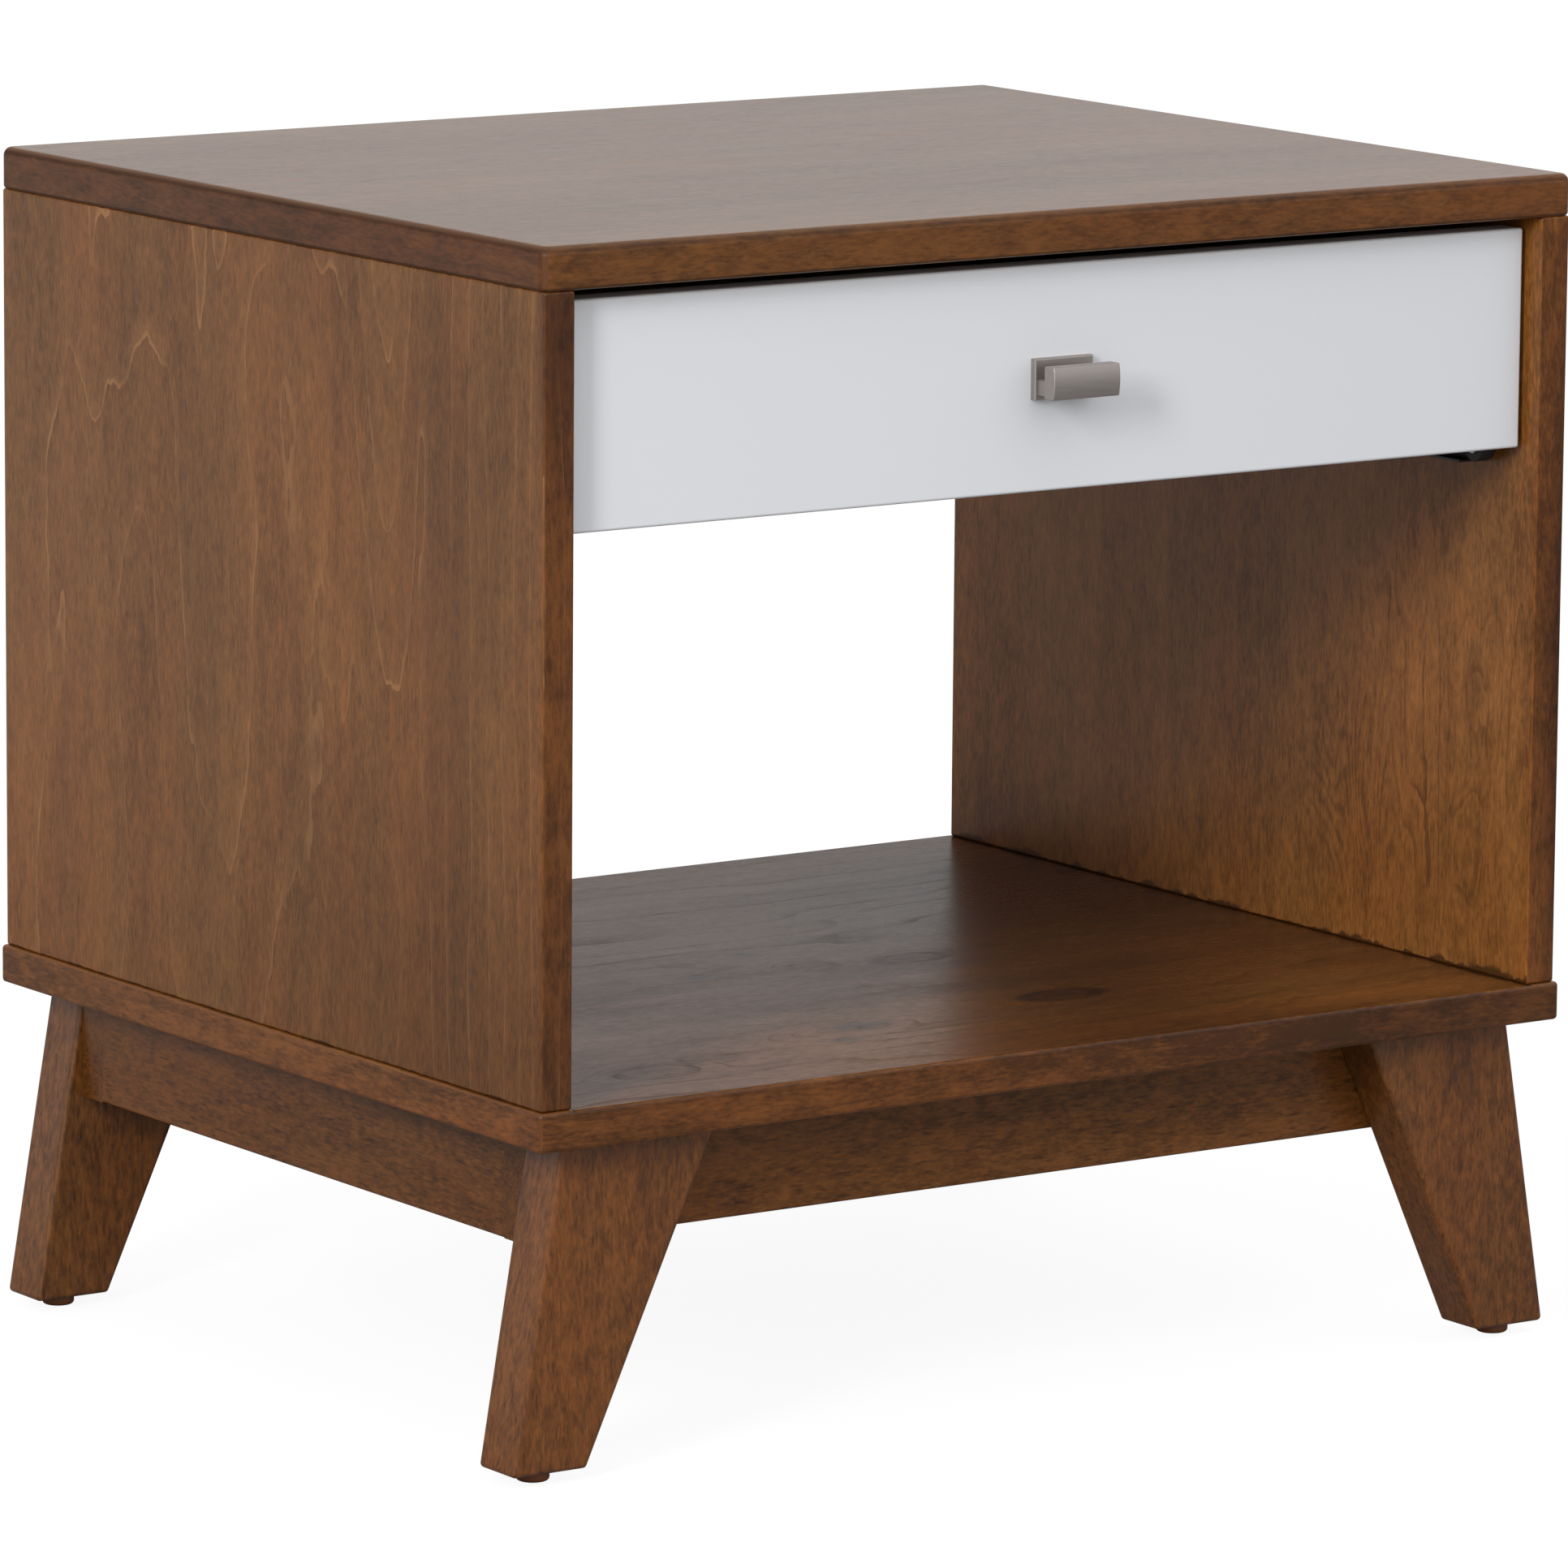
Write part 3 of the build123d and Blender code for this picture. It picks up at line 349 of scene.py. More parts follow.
    fine = spread("fine fibres", 620.0, 150.0, 2.0, 0.65)
    sized = vectors(tree, "DIVIDE", "size of the speckle", place, takes["Speckle Size"])
    speckle = spread("speckle", 110.0, 44.0, 4.0, 0.72, sized)
    band = spread("bands along the grain", 28.0, 3.5, 2.0, 0.6)
    blotch = spread("stain blotches", 8.0, 3.0, 2.5, 0.6)
    fleck = step(tree, "fleck edges", spread("flecks", 520.0, 60.0, 1.5), 0.11, 0.24)
    tone = sums(tree, "MULTIPLY_ADD", "fibre tone", fine, takes["Fibre Strength"], 0.5)
    tone = sums(tree, "MULTIPLY_ADD", "speckle tone", speckle, takes["Speckle Strength"], tone)
    tone = sums(tree, "MULTIPLY_ADD", "band tone", band, takes["Band Strength"], tone)
    tone = sums(tree, "MULTIPLY_ADD", "blotch tone", blotch, takes["Blotch Strength"], tone)
    tone = sums(tree, "SUBTRACT", "tone less the close rings", tone, close, clamp=True)
    surface = blend(tree, "stain", tone, takes["Deep"], takes["Pale"])
    warmth = step(tree, "band edges", spread("warm and cool bands", 15.0, 2.6, 2.0), -0.15, 0.15)
    tint = blend(tree, "band tint", warmth, COOL_BAND, WARM_BAND)
    surface = blend(tree, "tinted bands", 1.0, surface, tint, "MULTIPLY")
    surface = blend(tree, "ring lines", line, surface, takes["Line"])
    share = sums(tree, "MULTIPLY", "fleck share", fleck, takes["Fleck Strength"])
    surface = shade(tree, "flecks", share, surface, FLECK_TINT)

    height = sums(tree, "MULTIPLY_ADD", "fibre relief", fine, 0.5, speckle)
    height = sums(tree, "MULTIPLY_ADD", "pores", fleck, -0.4, height)
    height = sums(tree, "MULTIPLY_ADD", "sunk lines", line, -0.25, height)
    feed(tree, gives["Color"], surface)
    feed(tree, gives["Tone"], tone)
    feed(tree, gives["Line"], line)
    feed(tree, gives["Height"], height)


def rubbed_edge():
    """How near a place on a board is to the board's edges: 1 on an edge and 0 out on a face."""
    tree, takes, gives = new_group(
        "rubbed_edge",
        (
            ("Vector", "Vector", (0.0, 0.0, 0.0)),
            ("Middle", "Vector", (0.0, 0.0, 0.0)),
            ("Half Size", "Vector", (0.1, 0.1, 0.1)),
            ("Width", "Float", 0.004),
        ),
        (("Mask", "Float"),),
    )
    off = vectors(tree, "SUBTRACT", "from the middle", takes["Vector"], takes["Middle"])
    off = vectors(tree, "ABSOLUTE", "either way", off)
    room = vectors(tree, "SUBTRACT", "to the faces", takes["Half Size"], off)
    split = axes(tree, "to each face", room)
    low = sums(tree, "MINIMUM", "nearer of two", split[0], split[1])
    high = sums(tree, "MAXIMUM", "farther of two", split[0], split[1])
    second = sums(tree, "MINIMUM", "farther or third", high, split[2])
    second = sums(tree, "MAXIMUM", "second nearest face", low, second)
    uneven = noise(tree, "uneven rubbing", takes["Vector"], 130.0, 3.0, 0.6)
    mask = sums(tree, "DIVIDE", "share of the width", second, takes["Width"])
    mask = step(tree, "edge mask", mask, 0.0, 1.0, 1.0, 0.0)
    mask = sums(tree, "MULTIPLY", "patchy rubbing", mask, step(tree, "rubbed places", uneven, 0.4, 0.65))
    feed(tree, gives["Mask"], mask)


def painted_joint_shade():
    """Painted shade along a joint, in an uneven dark line: 1 in the joint and 0 clear of it."""
    tree, takes, gives = new_group(
        "painted_joint_shade",
        (
            ("Vector", "Vector", (0.0, 0.0, 0.0)),
            ("Distance", "Float", 0.0),
            ("Reach", "Float", 0.003),
        ),
        (("Mask", "Float"),),
    )
    beads = noise(tree, "beads of painted shade", takes["Vector"], 55.0, 3.0, 0.6)
    beads = step(tree, "bead size", beads, 0.38, 0.72, 0.25, 1.9)
    reach = sums(tree, "MULTIPLY", "uneven reach", beads, takes["Reach"])
    gap = sums(tree, "ABSOLUTE", "either side", takes["Distance"])
    mask = sums(tree, "DIVIDE", "share of the reach", gap, reach)
    feed(tree, gives["Mask"], step(tree, "pool edge", mask, 0.45, 1.0, 1.0, 0.0))


def oval_group(name):
    """A group for an oval mark, and how far out a place is: 0 in its middle and 1 at its reach."""
    tree, takes, gives = new_group(
        name,
        (
            ("Vector", "Vector", (0.0, 0.0, 0.0)),
            ("Middle", "Vector", (0.0, 0.0, 0.0)),
            ("Reach", "Vector", (0.1, 0.1, 0.1)),
        ),
        (("Mask", "Float"),),
    )
    off = vectors(tree, "SUBTRACT", "from the middle", takes["Vector"], takes["Middle"])
    off = vectors(tree, "DIVIDE", "share of the reach", off, takes["Reach"])
    return tree, takes, gives, vector_length(tree, "how far out", off)


def soft_patch():
    """A soft oval patch: 1 in the middle and 0 outside its reach."""
    tree, _, gives, far = oval_group("soft_patch")
    feed(tree, gives["Mask"], step(tree, "patch edge", far, 0.0, 1.0, 1.0, 0.0))


def grown_knot():
    """A knot grown over in the board: 1 on its broken outline, less in its heart and 0 outside."""
    tree, takes, gives, far = oval_group("grown_knot")
    uneven = noise(tree, "uneven outline", takes["Vector"], 60.0, 3.0, 0.6)
    far = sums(tree, "MULTIPLY_ADD", "uneven distance", uneven, 0.5, far)
    rise = step(tree, "inside of the outline", far, 0.75, 1.1)
    fall = step(tree, "outside of the outline", far, 1.15, 1.5, 1.0, 0.0)
    outline = sums(tree, "MULTIPLY", "outline", rise, fall)
    breaks = step(tree, "breaks", uneven, 0.35, 0.6, 0.4, 1.0)
    outline = sums(tree, "MULTIPLY", "broken outline", outline, breaks)
    heart = step(tree, "heart", far, 0.25, 1.3, 0.6, 0.0)
    feed(tree, gives["Mask"], sums(tree, "MAXIMUM", "knot", outline, heart))


def new_material(name):
    """A material with a Principled shader, and its texture coordinates."""
    made = bpy.data.materials.new(name)
    made.use_nodes = True
    tree = made.node_tree
    shader = tree.nodes["Principled BSDF"]
    spot = add(tree, "TexCoord", "place on the piece")
    return made, tree, shader, spot.outputs


def raise_surface(tree, shader, label, strength, depth, height):
    """Bumps a shader's surface by a height."""
    bump = add(tree, "Bump", label, {"Strength": strength, "Distance": depth, "Height": height})
    feed(tree, shader.inputs["Normal"], bump.outputs[0])


def lay(tree, place, turn, pith):
    """Coordinates with the grain along Z and the pith on the Z axis."""
    feeds = {"Vector": place, "Location": pith, "Rotation": turn}
    return add(tree, "Mapping", "lay of the grain", feeds, vector_type="TEXTURE").outputs[0]


def on_face(axis, level, rows, through=1.0):
    """Marks on the face at a level of an axis, as (middle, reach, strength).

    A row is (first place, second place, first reach, second reach, strength) along the other two axes, and
    through is the reach into the board.
    """
    made = []
    for first, second, first_reach, second_reach, strength in rows:
        middle = [first, second]
        reach = [first_reach, second_reach]
        middle.insert(axis, level)
        reach.insert(axis, through)
        made.append((middle, reach, strength))
    return made


def on_left(*rows):
    """Marks on the outer face of the left board, by Y and Z."""
    return on_face(0, LEFT_LOW.x, rows)


def on_right(*rows):
    """Marks on the inner face of the right board, by Y and Z."""
    return on_face(0, RIGHT_LOW.x, rows)


def on_shelf(*rows, through=1.0):
    """Marks on the upper face of the shelf, by X and Y."""
    return on_face(2, SHELF_JOINT, rows, through)


def mark_sum(tree, label, place, marks, group="soft_patch"):
    """The total of marks, each (middle, reach, strength) on the board."""
    total = 0.0
    for middle, reach, strength in marks:
        mask = group_node(tree, group, label, {"Vector": place, "Middle": middle, "Reach": reach})["Mask"]
        total = sums(tree, "MULTIPLY_ADD", label + " strength", mask, strength, total)
    return total


def wood(
    name, shades, sheen, turn, pith, grain, grain_axis=2, face_axis=None, end_turn=None, node=None,
    gloss=1.38, coat=0.0, edges=0.7, ends=0.75, arris=1.0,
    figure=(), strokes=(), bulges=(), patches=(), knots=(), pools=(),
):
    """A lacquered wood in its deep, pale and line shades.

    turn lays the grain along a board, end_turn lays it along the strips that cover the board's ends, pith is
    the middle of the rings before the turn, and grain sets inputs of the wood_grain group. grain_axis runs
    along the grain and face_axis across the broad faces. gloss is the lacquer's index of refraction, and coat
    is the share of a second coat on the broad faces. edges, ends and arris darken the edges, the ends and the
    rounds of the faces. node is the board whose sharp edges are rubbed pale.

    figure, strokes, bulges, patches and knots are lists of marks: where the rings show, where the close rings
    show, how far the rings swell, darker places, among them painted shade, and grown-over knots. The last
    list, of joints, gets painted shade along each joint, as (axis, place, reach).
    """
    made, tree, shader, spot = new_material(name)
    here = spot["Object"]
    deep, pale, line = shades
    way = axes(tree, "way the face looks", spot["Normal"])
    tips = step(tree, "ends", sums(tree, "ABSOLUTE", "either end", way[grain_axis]), 0.5, 0.9)
    place = lay(tree, here, turn, pith)
    if end_turn:
        mixed = add(tree, "Mix", "board or strip", {0: tips}, data_type="VECTOR")
        feed(tree, mixed.inputs[4], place)
        feed(tree, mixed.inputs[5], lay(tree, here, end_turn, pith))
        place = mixed.outputs[1]

    feeds = {"Vector": place, "Deep": deep, "Pale": pale, "Line": line, **grain}
    for socket, label, marks in (
        ("Line Strength", "figure", figure),
        ("Fine Lines", "strokes", strokes),
        ("Bulge", "bulge", bulges),
    ):
        if marks:
            feeds[socket] = mark_sum(tree, label, here, marks)
    if face_axis is not None:
        lean = sums(tree, "ABSOLUTE", "either face", way[face_axis])
        broad = step(tree, "broad faces", lean, 0.5, 0.9)
        speckle = grain.get("Speckle Strength", FACE_SPECKLE)
        feeds["Speckle Strength"] = step(tree, "face or edge speckle", broad, 0.0, 1.0, EDGE_SPECKLE, speckle)
    figured = group_node(tree, "wood_grain", "grain", feeds)
    surface = figured["Color"]
    relief = figured["Height"]
    spread = {0: figured["Tone"], 3: sheen + SHEEN_SPREAD, 4: sheen - SHEEN_SPREAD}
    rough = add(tree, "MapRange", "uneven sheen", spread).outputs[0]
    rough = sums(tree, "MULTIPLY_ADD", "dull lines", figured["Line"], LINE_DULLNESS, rough)

    if face_axis is not None:
        narrow = sums(tree, "SUBTRACT", "narrow faces", 1.0, broad)
        surface = shade(tree, "edges", narrow, surface, times(SOLID_TINT, edges))
        rough = ease(tree, "duller edges", broad, EDGE_ROUGHNESS, rough)
        ends /= edges
    surface = shade(tree, "ends", tips, surface, times(END_TINT, ends))
    if arris < 1.0:
        rounded = step(tree, "start of the round", lean, 0.1, 0.4)
        flat = step(tree, "end of the round", lean, 0.9, 0.999, 1.0, 0.0)
        rounded = sums(tree, "MULTIPLY", "round", rounded, flat)
        surface = shade(tree, "rounds", rounded, surface, (arris, arris, arris))
        rough = ease(tree, "duller rounds", rounded, rough, ROUND_ROUGHNESS)
    for label, marks, group in (("patch", patches, "soft_patch"), ("knot", knots, "grown_knot")):
        if marks:
            share = mark_sum(tree, label, here, marks, group)
            surface = shade(tree, label, share, surface, MARK_TINT)
    if knots:
        rough = sums(tree, "MULTIPLY_ADD", "dull knots", share, KNOT_DULLNESS, rough)
        relief = sums(tree, "MULTIPLY_ADD", "sunk knots", share, KNOT_RELIEF, relief)
    if node:
        low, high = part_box(node)
        sizes = {"Middle": (low + high) / 2, "Half Size": (high - low) / 2, "Width": RUBBED_WIDTH}
        rub = group_node(tree, "rubbed_edge", "edges", {"Vector": here, **sizes})["Mask"]
        rub = sums(tree, "MULTIPLY", "light rubbing", rub, RUBBED_SHARE)
        surface = blend(tree, "rubbed edges", rub, surface, times(pale, RUBBED_SHADE))
    # Painted shade along the joints, darkest in the joint and uneven along it
    for axis, joint, reach in pools:
        along = sums(tree, "SUBTRACT", "from the joint", axes(tree, "place", here)[axis], joint)
        feeds = {"Vector": here, "Distance": along, "Reach": reach}
        mask = group_node(tree, "painted_joint_shade", "pool", feeds)["Mask"]
        mask = sums(tree, "MULTIPLY", "pool on the faces", mask, broad)
        mask = sums(tree, "MULTIPLY", "pool share", mask, JOINT_SHADE_SHARE)
        surface = blend(tree, "painted shade in the joint", mask, surface, times(deep, JOINT_SHADE_TONE))

    feed(tree, shader.inputs["Base Color"], surface)
    feed(tree, shader.inputs["Roughness"], rough)
    shader.inputs["IOR"].default_value = gloss
    if coat:
        feed(tree, shader.inputs["Coat Weight"], sums(tree, "MULTIPLY", "coat on the faces", broad, coat))
        shader.inputs["Coat Roughness"].default_value = sheen
    raise_surface(tree, shader, "open pores", PORE_STRENGTH, LACQUER_RELIEF, relief)
    return made


def stained(name, grain, depth=1.0, tint=(1.0, 1.0, 1.0), sheen=None, dark_lines=False, **cut):
    """Stained wood: depth and tint scale its colour, and dark_lines draws its rings dark instead of pale."""
    look = finish()
    line = look.stain_line
    if dark_lines:
        line = times(look.stain_deep, DARK_LINE)
        grain = {"Line Sharpness": 0.4, "Line Glow": 0.75, **grain}
    shades = [depth * Vector(stain) * Vector(tint) for stain in (look.stain_deep, look.stain_pale, line)]
    return wood(name, shades, sheen or look.wood_sheen, grain=grain, **cut)


def birch(name, seed, **cut):
    """Clear-lacquered birch, or the beech of the dowels."""
    look = finish()
    shades = (look.birch_deep, look.birch_pale, look.birch_line)
    grain = {"Seed": seed, "Fibre Strength": 0.55, "Fleck Strength": 0.15}
    return wood(name, shades, BIRCH_ROUGHNESS, grain=grain, **cut)


def dress(material, slot, *names):
    """Gives CAD nodes a material."""
    for name in names:
        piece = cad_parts[name]
        piece.data.materials.clear()
        piece.data.materials.append(material)


class SIDETABLE_OT_effects(bpy.types.Operator):
    """Builds the node groups that the finishes share."""

    bl_idname = "side_table.effects"
    bl_label = "Shared effects"

    def execute(self, context):
        wood_grain()
        rubbed_edge()
        painted_joint_shade()
        soft_patch()
        grown_knot()
        return {"FINISHED"}


def top_board():
    """The top: an even figure under a glossier coat, with strips on its ends."""
    return stained(
        "top board",
        {"Seed": 1.0, "Speckle Strength": 0.8, "Line Strength": 0.3},
        depth=1.2,
        sheen=0.2,
        gloss=1.36,
        coat=0.38,
        turn=ALONG_X,
        pith=(0.1, 0.03, 0.45),
        node="top_panel",
        grain_axis=0,
        face_axis=2,
        end_turn=ALONG_Y,
        edges=0.68,
        ends=0.5,
        arris=0.6,
    )


def shelf_board():
    """The shelf: dark rings that swell round its knots, painted shade towards the back right, and darker
    towards the front.
    """
    front_edge = ((0.24, SHELF_LOW.y, (SHELF_LOW.z + SHELF_HIGH.z) / 2), (0.22, 0.02, 0.1), 0.3)
    return stained(
        "shelf",
        {
            "Seed": 2.0,
            "Ring Spacing": 0.012,
            "Ragged": 0.04,
            "Fibre Strength": 1.8,
            "Band Strength": 1.0,
            "Line Strength": 0.5,
            "Blotch Strength": 1.5,
        },
        depth=1.35,
        coat=0.1,
        dark_lines=True,
        turn=ALONG_X,
        pith=(0.0, -0.05, -0.2),
        node="bottom_panel",
        grain_axis=0,
        face_axis=2,
        end_turn=ALONG_Y,
        edges=0.62,
        ends=0.74,
        bulges=on_shelf(
            (0.076, -0.151, 0.05, 0.026, 0.04),
            (0.071, -0.024, 0.045, 0.022, 0.03),
            (0.008, -0.017, 0.03, 0.022, 0.03),
            (-0.074, -0.164, 0.06, 0.022, 0.03),
            (-0.211, -0.201, 0.06, 0.03, 0.03),
        ),
        patches=[
            front_edge,
            *on_shelf(
                (0.12, -0.12, 0.12, 0.12, 0.3),
                (0.05, -0.23, 0.17, 0.15, 0.7),
                (-0.25, -0.245, 0.17, 0.13, 0.6),
                through=0.004,
            ),
            *on_shelf(
                # The first row is painted shade that the right board casts over the back right of the shelf
                (0.25, 0.1, 0.45, 0.45, 1.0),
                (0.22, -0.14, 0.22, 0.16, 0.2),
                (0.077, -0.1515, 0.036, 0.018, 0.7),
                (-0.058, -0.013, 0.018, 0.011, 1.0),
                (-0.003, 0.0265, 0.014, 0.01, 0.9),
                (-0.06, -0.1625, 0.028, 0.013, 1.1),
                (-0.0865, -0.19, 0.018, 0.01, 0.9),
            ),
        ],
        knots=on_shelf(
            (0.077, -0.1515, 0.026, 0.013, 0.9),
            (0.0695, -0.027, 0.024, 0.012, 0.6),
            (0.012, -0.019, 0.016, 0.013, 0.35),
            (-0.2125, -0.203, 0.026, 0.014, 0.5),
            (-0.172, -0.192, 0.018, 0.014, 0.35),
        ),
        # Painted shade along the shelf's joints with the side boards
        pools=((0, RIGHT_LOW.x, 0.003), (0, LEFT_HIGH.x, 0.003)),
    )


def left_board():
    """The left board: pale arched rings, and darker towards its lower front corner."""
    front_edge = (((LEFT_LOW.x + LEFT_HIGH.x) / 2, LEFT_LOW.y, 0.58), (0.1, 0.012, 0.12), 0.7)
    return stained(
        "left board",
        {"Seed": 3.0, "Swell": 0.014, "Notch": 0.016, "Band Strength": 0.8},
        depth=1.18,
        turn=ALONG_Z,
        pith=(0.6825, 0.036, 0.4),
        node="left_side_panel",
        face_axis=0,
        edges=0.75,
        bulges=on_left(
            (0.111, 0.672, 0.165, 0.26, 0.024),
            (0.171, 0.537, 0.02, 0.1, 0.007),
            (0.281, 0.397, 0.06, 0.2, -0.010),
            (0.126, 0.367, 0.038, 0.165, -0.0064),
            (0.044, 0.422, 0.08, 0.4, 0.021),
            (-0.059, 0.657, 0.125, 0.165, 0.015),
            (-0.1165, 0.622, 0.038, 0.4, 0.033),
            (-0.099, 0.272, 0.08, 0.28, -0.0127),
            (-0.314, 0.397, 0.165, 1.2, 0.085),
        ),
        patches=[
            front_edge,
            *on_left(
                (-0.18, 0.22, 0.24, 0.2, 0.42),
                (-0.06, 0.58, 0.09, 0.1, 0.22),
                (0.06, 0.4, 0.035, 0.45, 0.2),
                (-0.17, 0.42, 0.04, 0.4, 0.22),
                (-0.19, 0.48, 0.13, 0.2, 0.32),
                (0.2, 0.3, 0.02, 0.2, 0.2),
            ),
        ],
        # Painted shade along the joints with the top and the shelf
        pools=((2, TOP_JOINT, 0.0006), (2, SHELF_JOINT, 0.0014)),
    )


def right_board():
    """The right board: dark ragged rings and a knot on its inner face, a deeper stain outside, and painted
    shade in its back corner by the shelf.
    """
    front_edge = (((RIGHT_LOW.x + RIGHT_HIGH.x) / 2, RIGHT_LOW.y, 0.35), (0.1, 0.012, 0.17), 0.3)
    outer_face = ((RIGHT_HIGH.x, 0.0, 0.4), (0.012, 3.0, 3.0), 0.54)
    return stained(
        "right board",
        {
            "Seed": 4.0,
            "Ring Spacing": 0.0075,
            "Notch": 0.05,
            "Ragged": 0.4,
            "Fine Line Count": 1.7,
            "Fine Line Cover": 0.3,
            "Fibre Strength": 1.6,
            "Speckle Strength": 1.3,
            "Band Strength": 0.8,
            "Blotch Strength": 1.2,
        },
        depth=1.9,
        gloss=1.34,
        dark_lines=True,
        turn=ALONG_Z,
        pith=(0.55, -0.2115, 0.4),
        node="right_side_panel",
        face_axis=0,
        edges=0.58,
        figure=on_right((-0.2, 0.3, 0.17, 0.26, 1.0)),
        strokes=on_right((-0.113, 0.28, 0.075, 0.1, 0.42), (-0.21, 0.26, 0.05, 0.15, 0.2)),
        bulges=on_right(
            (-0.211, 0.345, 0.022, 0.06, -0.013),
            (-0.207, 0.255, 0.022, 0.07, -0.013),
            (-0.059, 0.18, 0.09, 0.16, 0.06),
        ),
        patches=[
            front_edge,
            outer_face,
            *on_right(
                (-0.211, 0.345, 0.01, 0.035, 0.45),
                (-0.2, 0.24, 0.16, 0.12, 0.2),
                (0.12, 0.4, 0.26, 0.3, 0.12),
                (-0.19, 0.42, 0.14, 0.14, 0.12),
                # Painted shade in the back corner where the board meets the shelf
                (0.2, 0.19, 0.22, 0.07, 0.6),
            ),
        ],
        knots=on_right((-0.208, 0.251, 0.01, 0.022, 0.4)),
        # Painted shade along the joints with the shelf and the top
        pools=((2, SHELF_JOINT, 0.004), (2, TOP_JOINT, 0.0018)),
    )


def back_stretcher():
    """The rail behind the drawer."""
    return stained(
        "back rail",
        {"Seed": 5.0},
        turn=ALONG_X,
        pith=(0.0, 0.31, 0.52),
        node="back_rail",
        grain_axis=0,
        face_axis=1,
    )


class SIDETABLE_OT_boards(bpy.types.Operator):
    """Stains the top, the shelf, the side boards and the back rail."""

    bl_idname = "side_table.boards"
    bl_label = "Carcass boards"

    def execute(self, context):
        dress(top_board(), "stained_wood", "top_panel")
        dress(shelf_board(), "stained_wood", "bottom_panel")
        dress(left_board(), "stained_wood", "left_side_panel")
        dress(right_board(), "stained_wood", "right_side_panel")
        dress(back_stretcher(), "stained_wood", "back_rail")
        return {"FINISHED"}


class SIDETABLE_OT_base(bpy.types.Operator):
    """Stains the legs and the rails between them, and leaves the corner blocks pale."""

    bl_idname = "side_table.base"
    bl_label = "Base"

    def execute(self, context):
        solid = {
            "Fibre Strength": 2.0,
            "Speckle Strength": 2.2,
            "Speckle Size": 0.55,
            "Band Strength": 0.8,
            "Line Strength": 0.3,
            "Fine Lines": 0.0,
            "Fleck Strength": 0.75,
            "Swell": 0.03,
        }
        middle = (0.0, 0.0, 0.0)
        knot_x = 0.2665
        leg_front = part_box("front_right_leg")[0].y
        legs = stained(
            "legs",
            {"Seed": 6.0, **solid},
            tint=SOLID_TINT,
            gloss=1.5,
            dark_lines=True,
            turn=ALONG_Z,
            pith=middle,
            patches=on_face(1, leg_front, ((knot_x, 0.155, 0.025, 0.02, 0.25),), through=0.1),
            knots=on_face(1, leg_front, ((knot_x, 0.137, 0.0095, 0.016, 0.5),), through=0.1),
        )
        dress(legs, "stained_wood", *(f"{corner}_leg" for corner in CORNERS))
        solid["Band Strength"] = 1.5
        long_rails = stained(
            "long rails",
            {"Seed": 7.0, **solid},
            tint=SOLID_TINT,
            dark_lines=True,
            turn=ALONG_X,
            pith=middle,
            grain_axis=0,
        )
        dress(long_rails, "stained_wood", "front_base_rail", "rear_base_rail")
        side_rails = stained(
            "side rails",
            {"Seed": 8.0, **solid},
            depth=0.8,
            tint=SOLID_TINT,
            dark_lines=True,
            turn=ALONG_Y,
            pith=middle,
            grain_axis=1,
        )
        dress(side_rails, "stained_wood", "left_base_rail", "right_base_rail")
        blocks = birch("corner blocks", 9.0, turn=ALONG_X, pith=middle, grain_axis=0)
        dress(blocks, "birch", *(f"{corner}_corner_block" for corner in CORNERS))
        return {"FINISHED"}


def white_lacquer():
    """Sprayed lacquer, a little thinner in places, with a fine orange peel."""
    look = finish()
    made, tree, shader, spot = new_material("white lacquer")
    cloud = noise(tree, "uneven spray", spot["Object"], 9.0, 3.0)
    share = step(tree, "thin spray", cloud, 0.3, 0.7, 0.0, 0.05)
    feed(tree, shader.inputs["Base Color"], blend(tree, "spray", share, look.white, times(look.white, 0.9)))
    rough = step(tree, "uneven sheen", cloud, 0.2, 0.8, look.white_sheen - 0.03, look.white_sheen + 0.03)
    feed(tree, shader.inputs["Roughness"], rough)
    peel = noise(tree, "orange peel", spot["Object"], 420.0, 1.0)
    raise_surface(tree, shader, "orange peel", 0.04, LACQUER_RELIEF, peel)
    return made


class SIDETABLE_OT_drawer(bpy.types.Operator):
    """Lacquers the drawer front and finishes the drawer box."""

    bl_idname = "side_table.drawer"
    bl_label = "Drawer"

    def execute(self, context):
        dress(white_lacquer(), "white_lacquer", "drawer_front")
        ends = birch("drawer ends", 10.0, turn=ALONG_X, pith=(0.0, 0.1, 0.40), grain_axis=0)
        dress(ends, "birch", "drawer_inner_front", "drawer_back")
        sides = birch("drawer sides", 11.0, turn=ALONG_Y, pith=(0.1, 0.0, 0.40), grain_axis=1)
        dress(sides, "birch", "drawer_left_side", "drawer_right_side")
        floor = birch("drawer bottom", 12.0, turn=ALONG_X, pith=(0.0, 0.0, 0.40), grain_axis=0)
        dress(floor, "birch", "drawer_bottom")
        return {"FINISHED"}


def metal(name, tint, rough, brush, strength):
    """A metal with fine brush marks, in waves per metre."""
    made, tree, shader, spot = new_material(name)
    marks = noise(tree, "brush marks", spot["Object"], brush, 3.0, 0.65)
    feed(tree, shader.inputs["Base Color"], blend(tree, "worn marks", marks, times(tint, 0.78), tint))
    shader.inputs["Metallic"].default_value = 1.0
    rough = step(tree, "uneven sheen", marks, 0.2, 0.8, rough - 0.08, rough + 0.08)
    feed(tree, shader.inputs["Roughness"], rough)
    raise_surface(tree, shader, "brush marks", strength, BARE_RELIEF, marks)
    return made


class SIDETABLE_OT_pull(bpy.types.Operator):
    """Plates the pull."""

    bl_idname = "side_table.pull"
    bl_label = "Pull"

    def execute(self, context):
        brush = (60.0, 2500.0, 2500.0)
        nickel = metal("brushed nickel", finish().nickel, rough=0.46, brush=brush, strength=0.25)
        dress(nickel, "brushed_nickel", "drawer_pull")
        return {"FINISHED"}


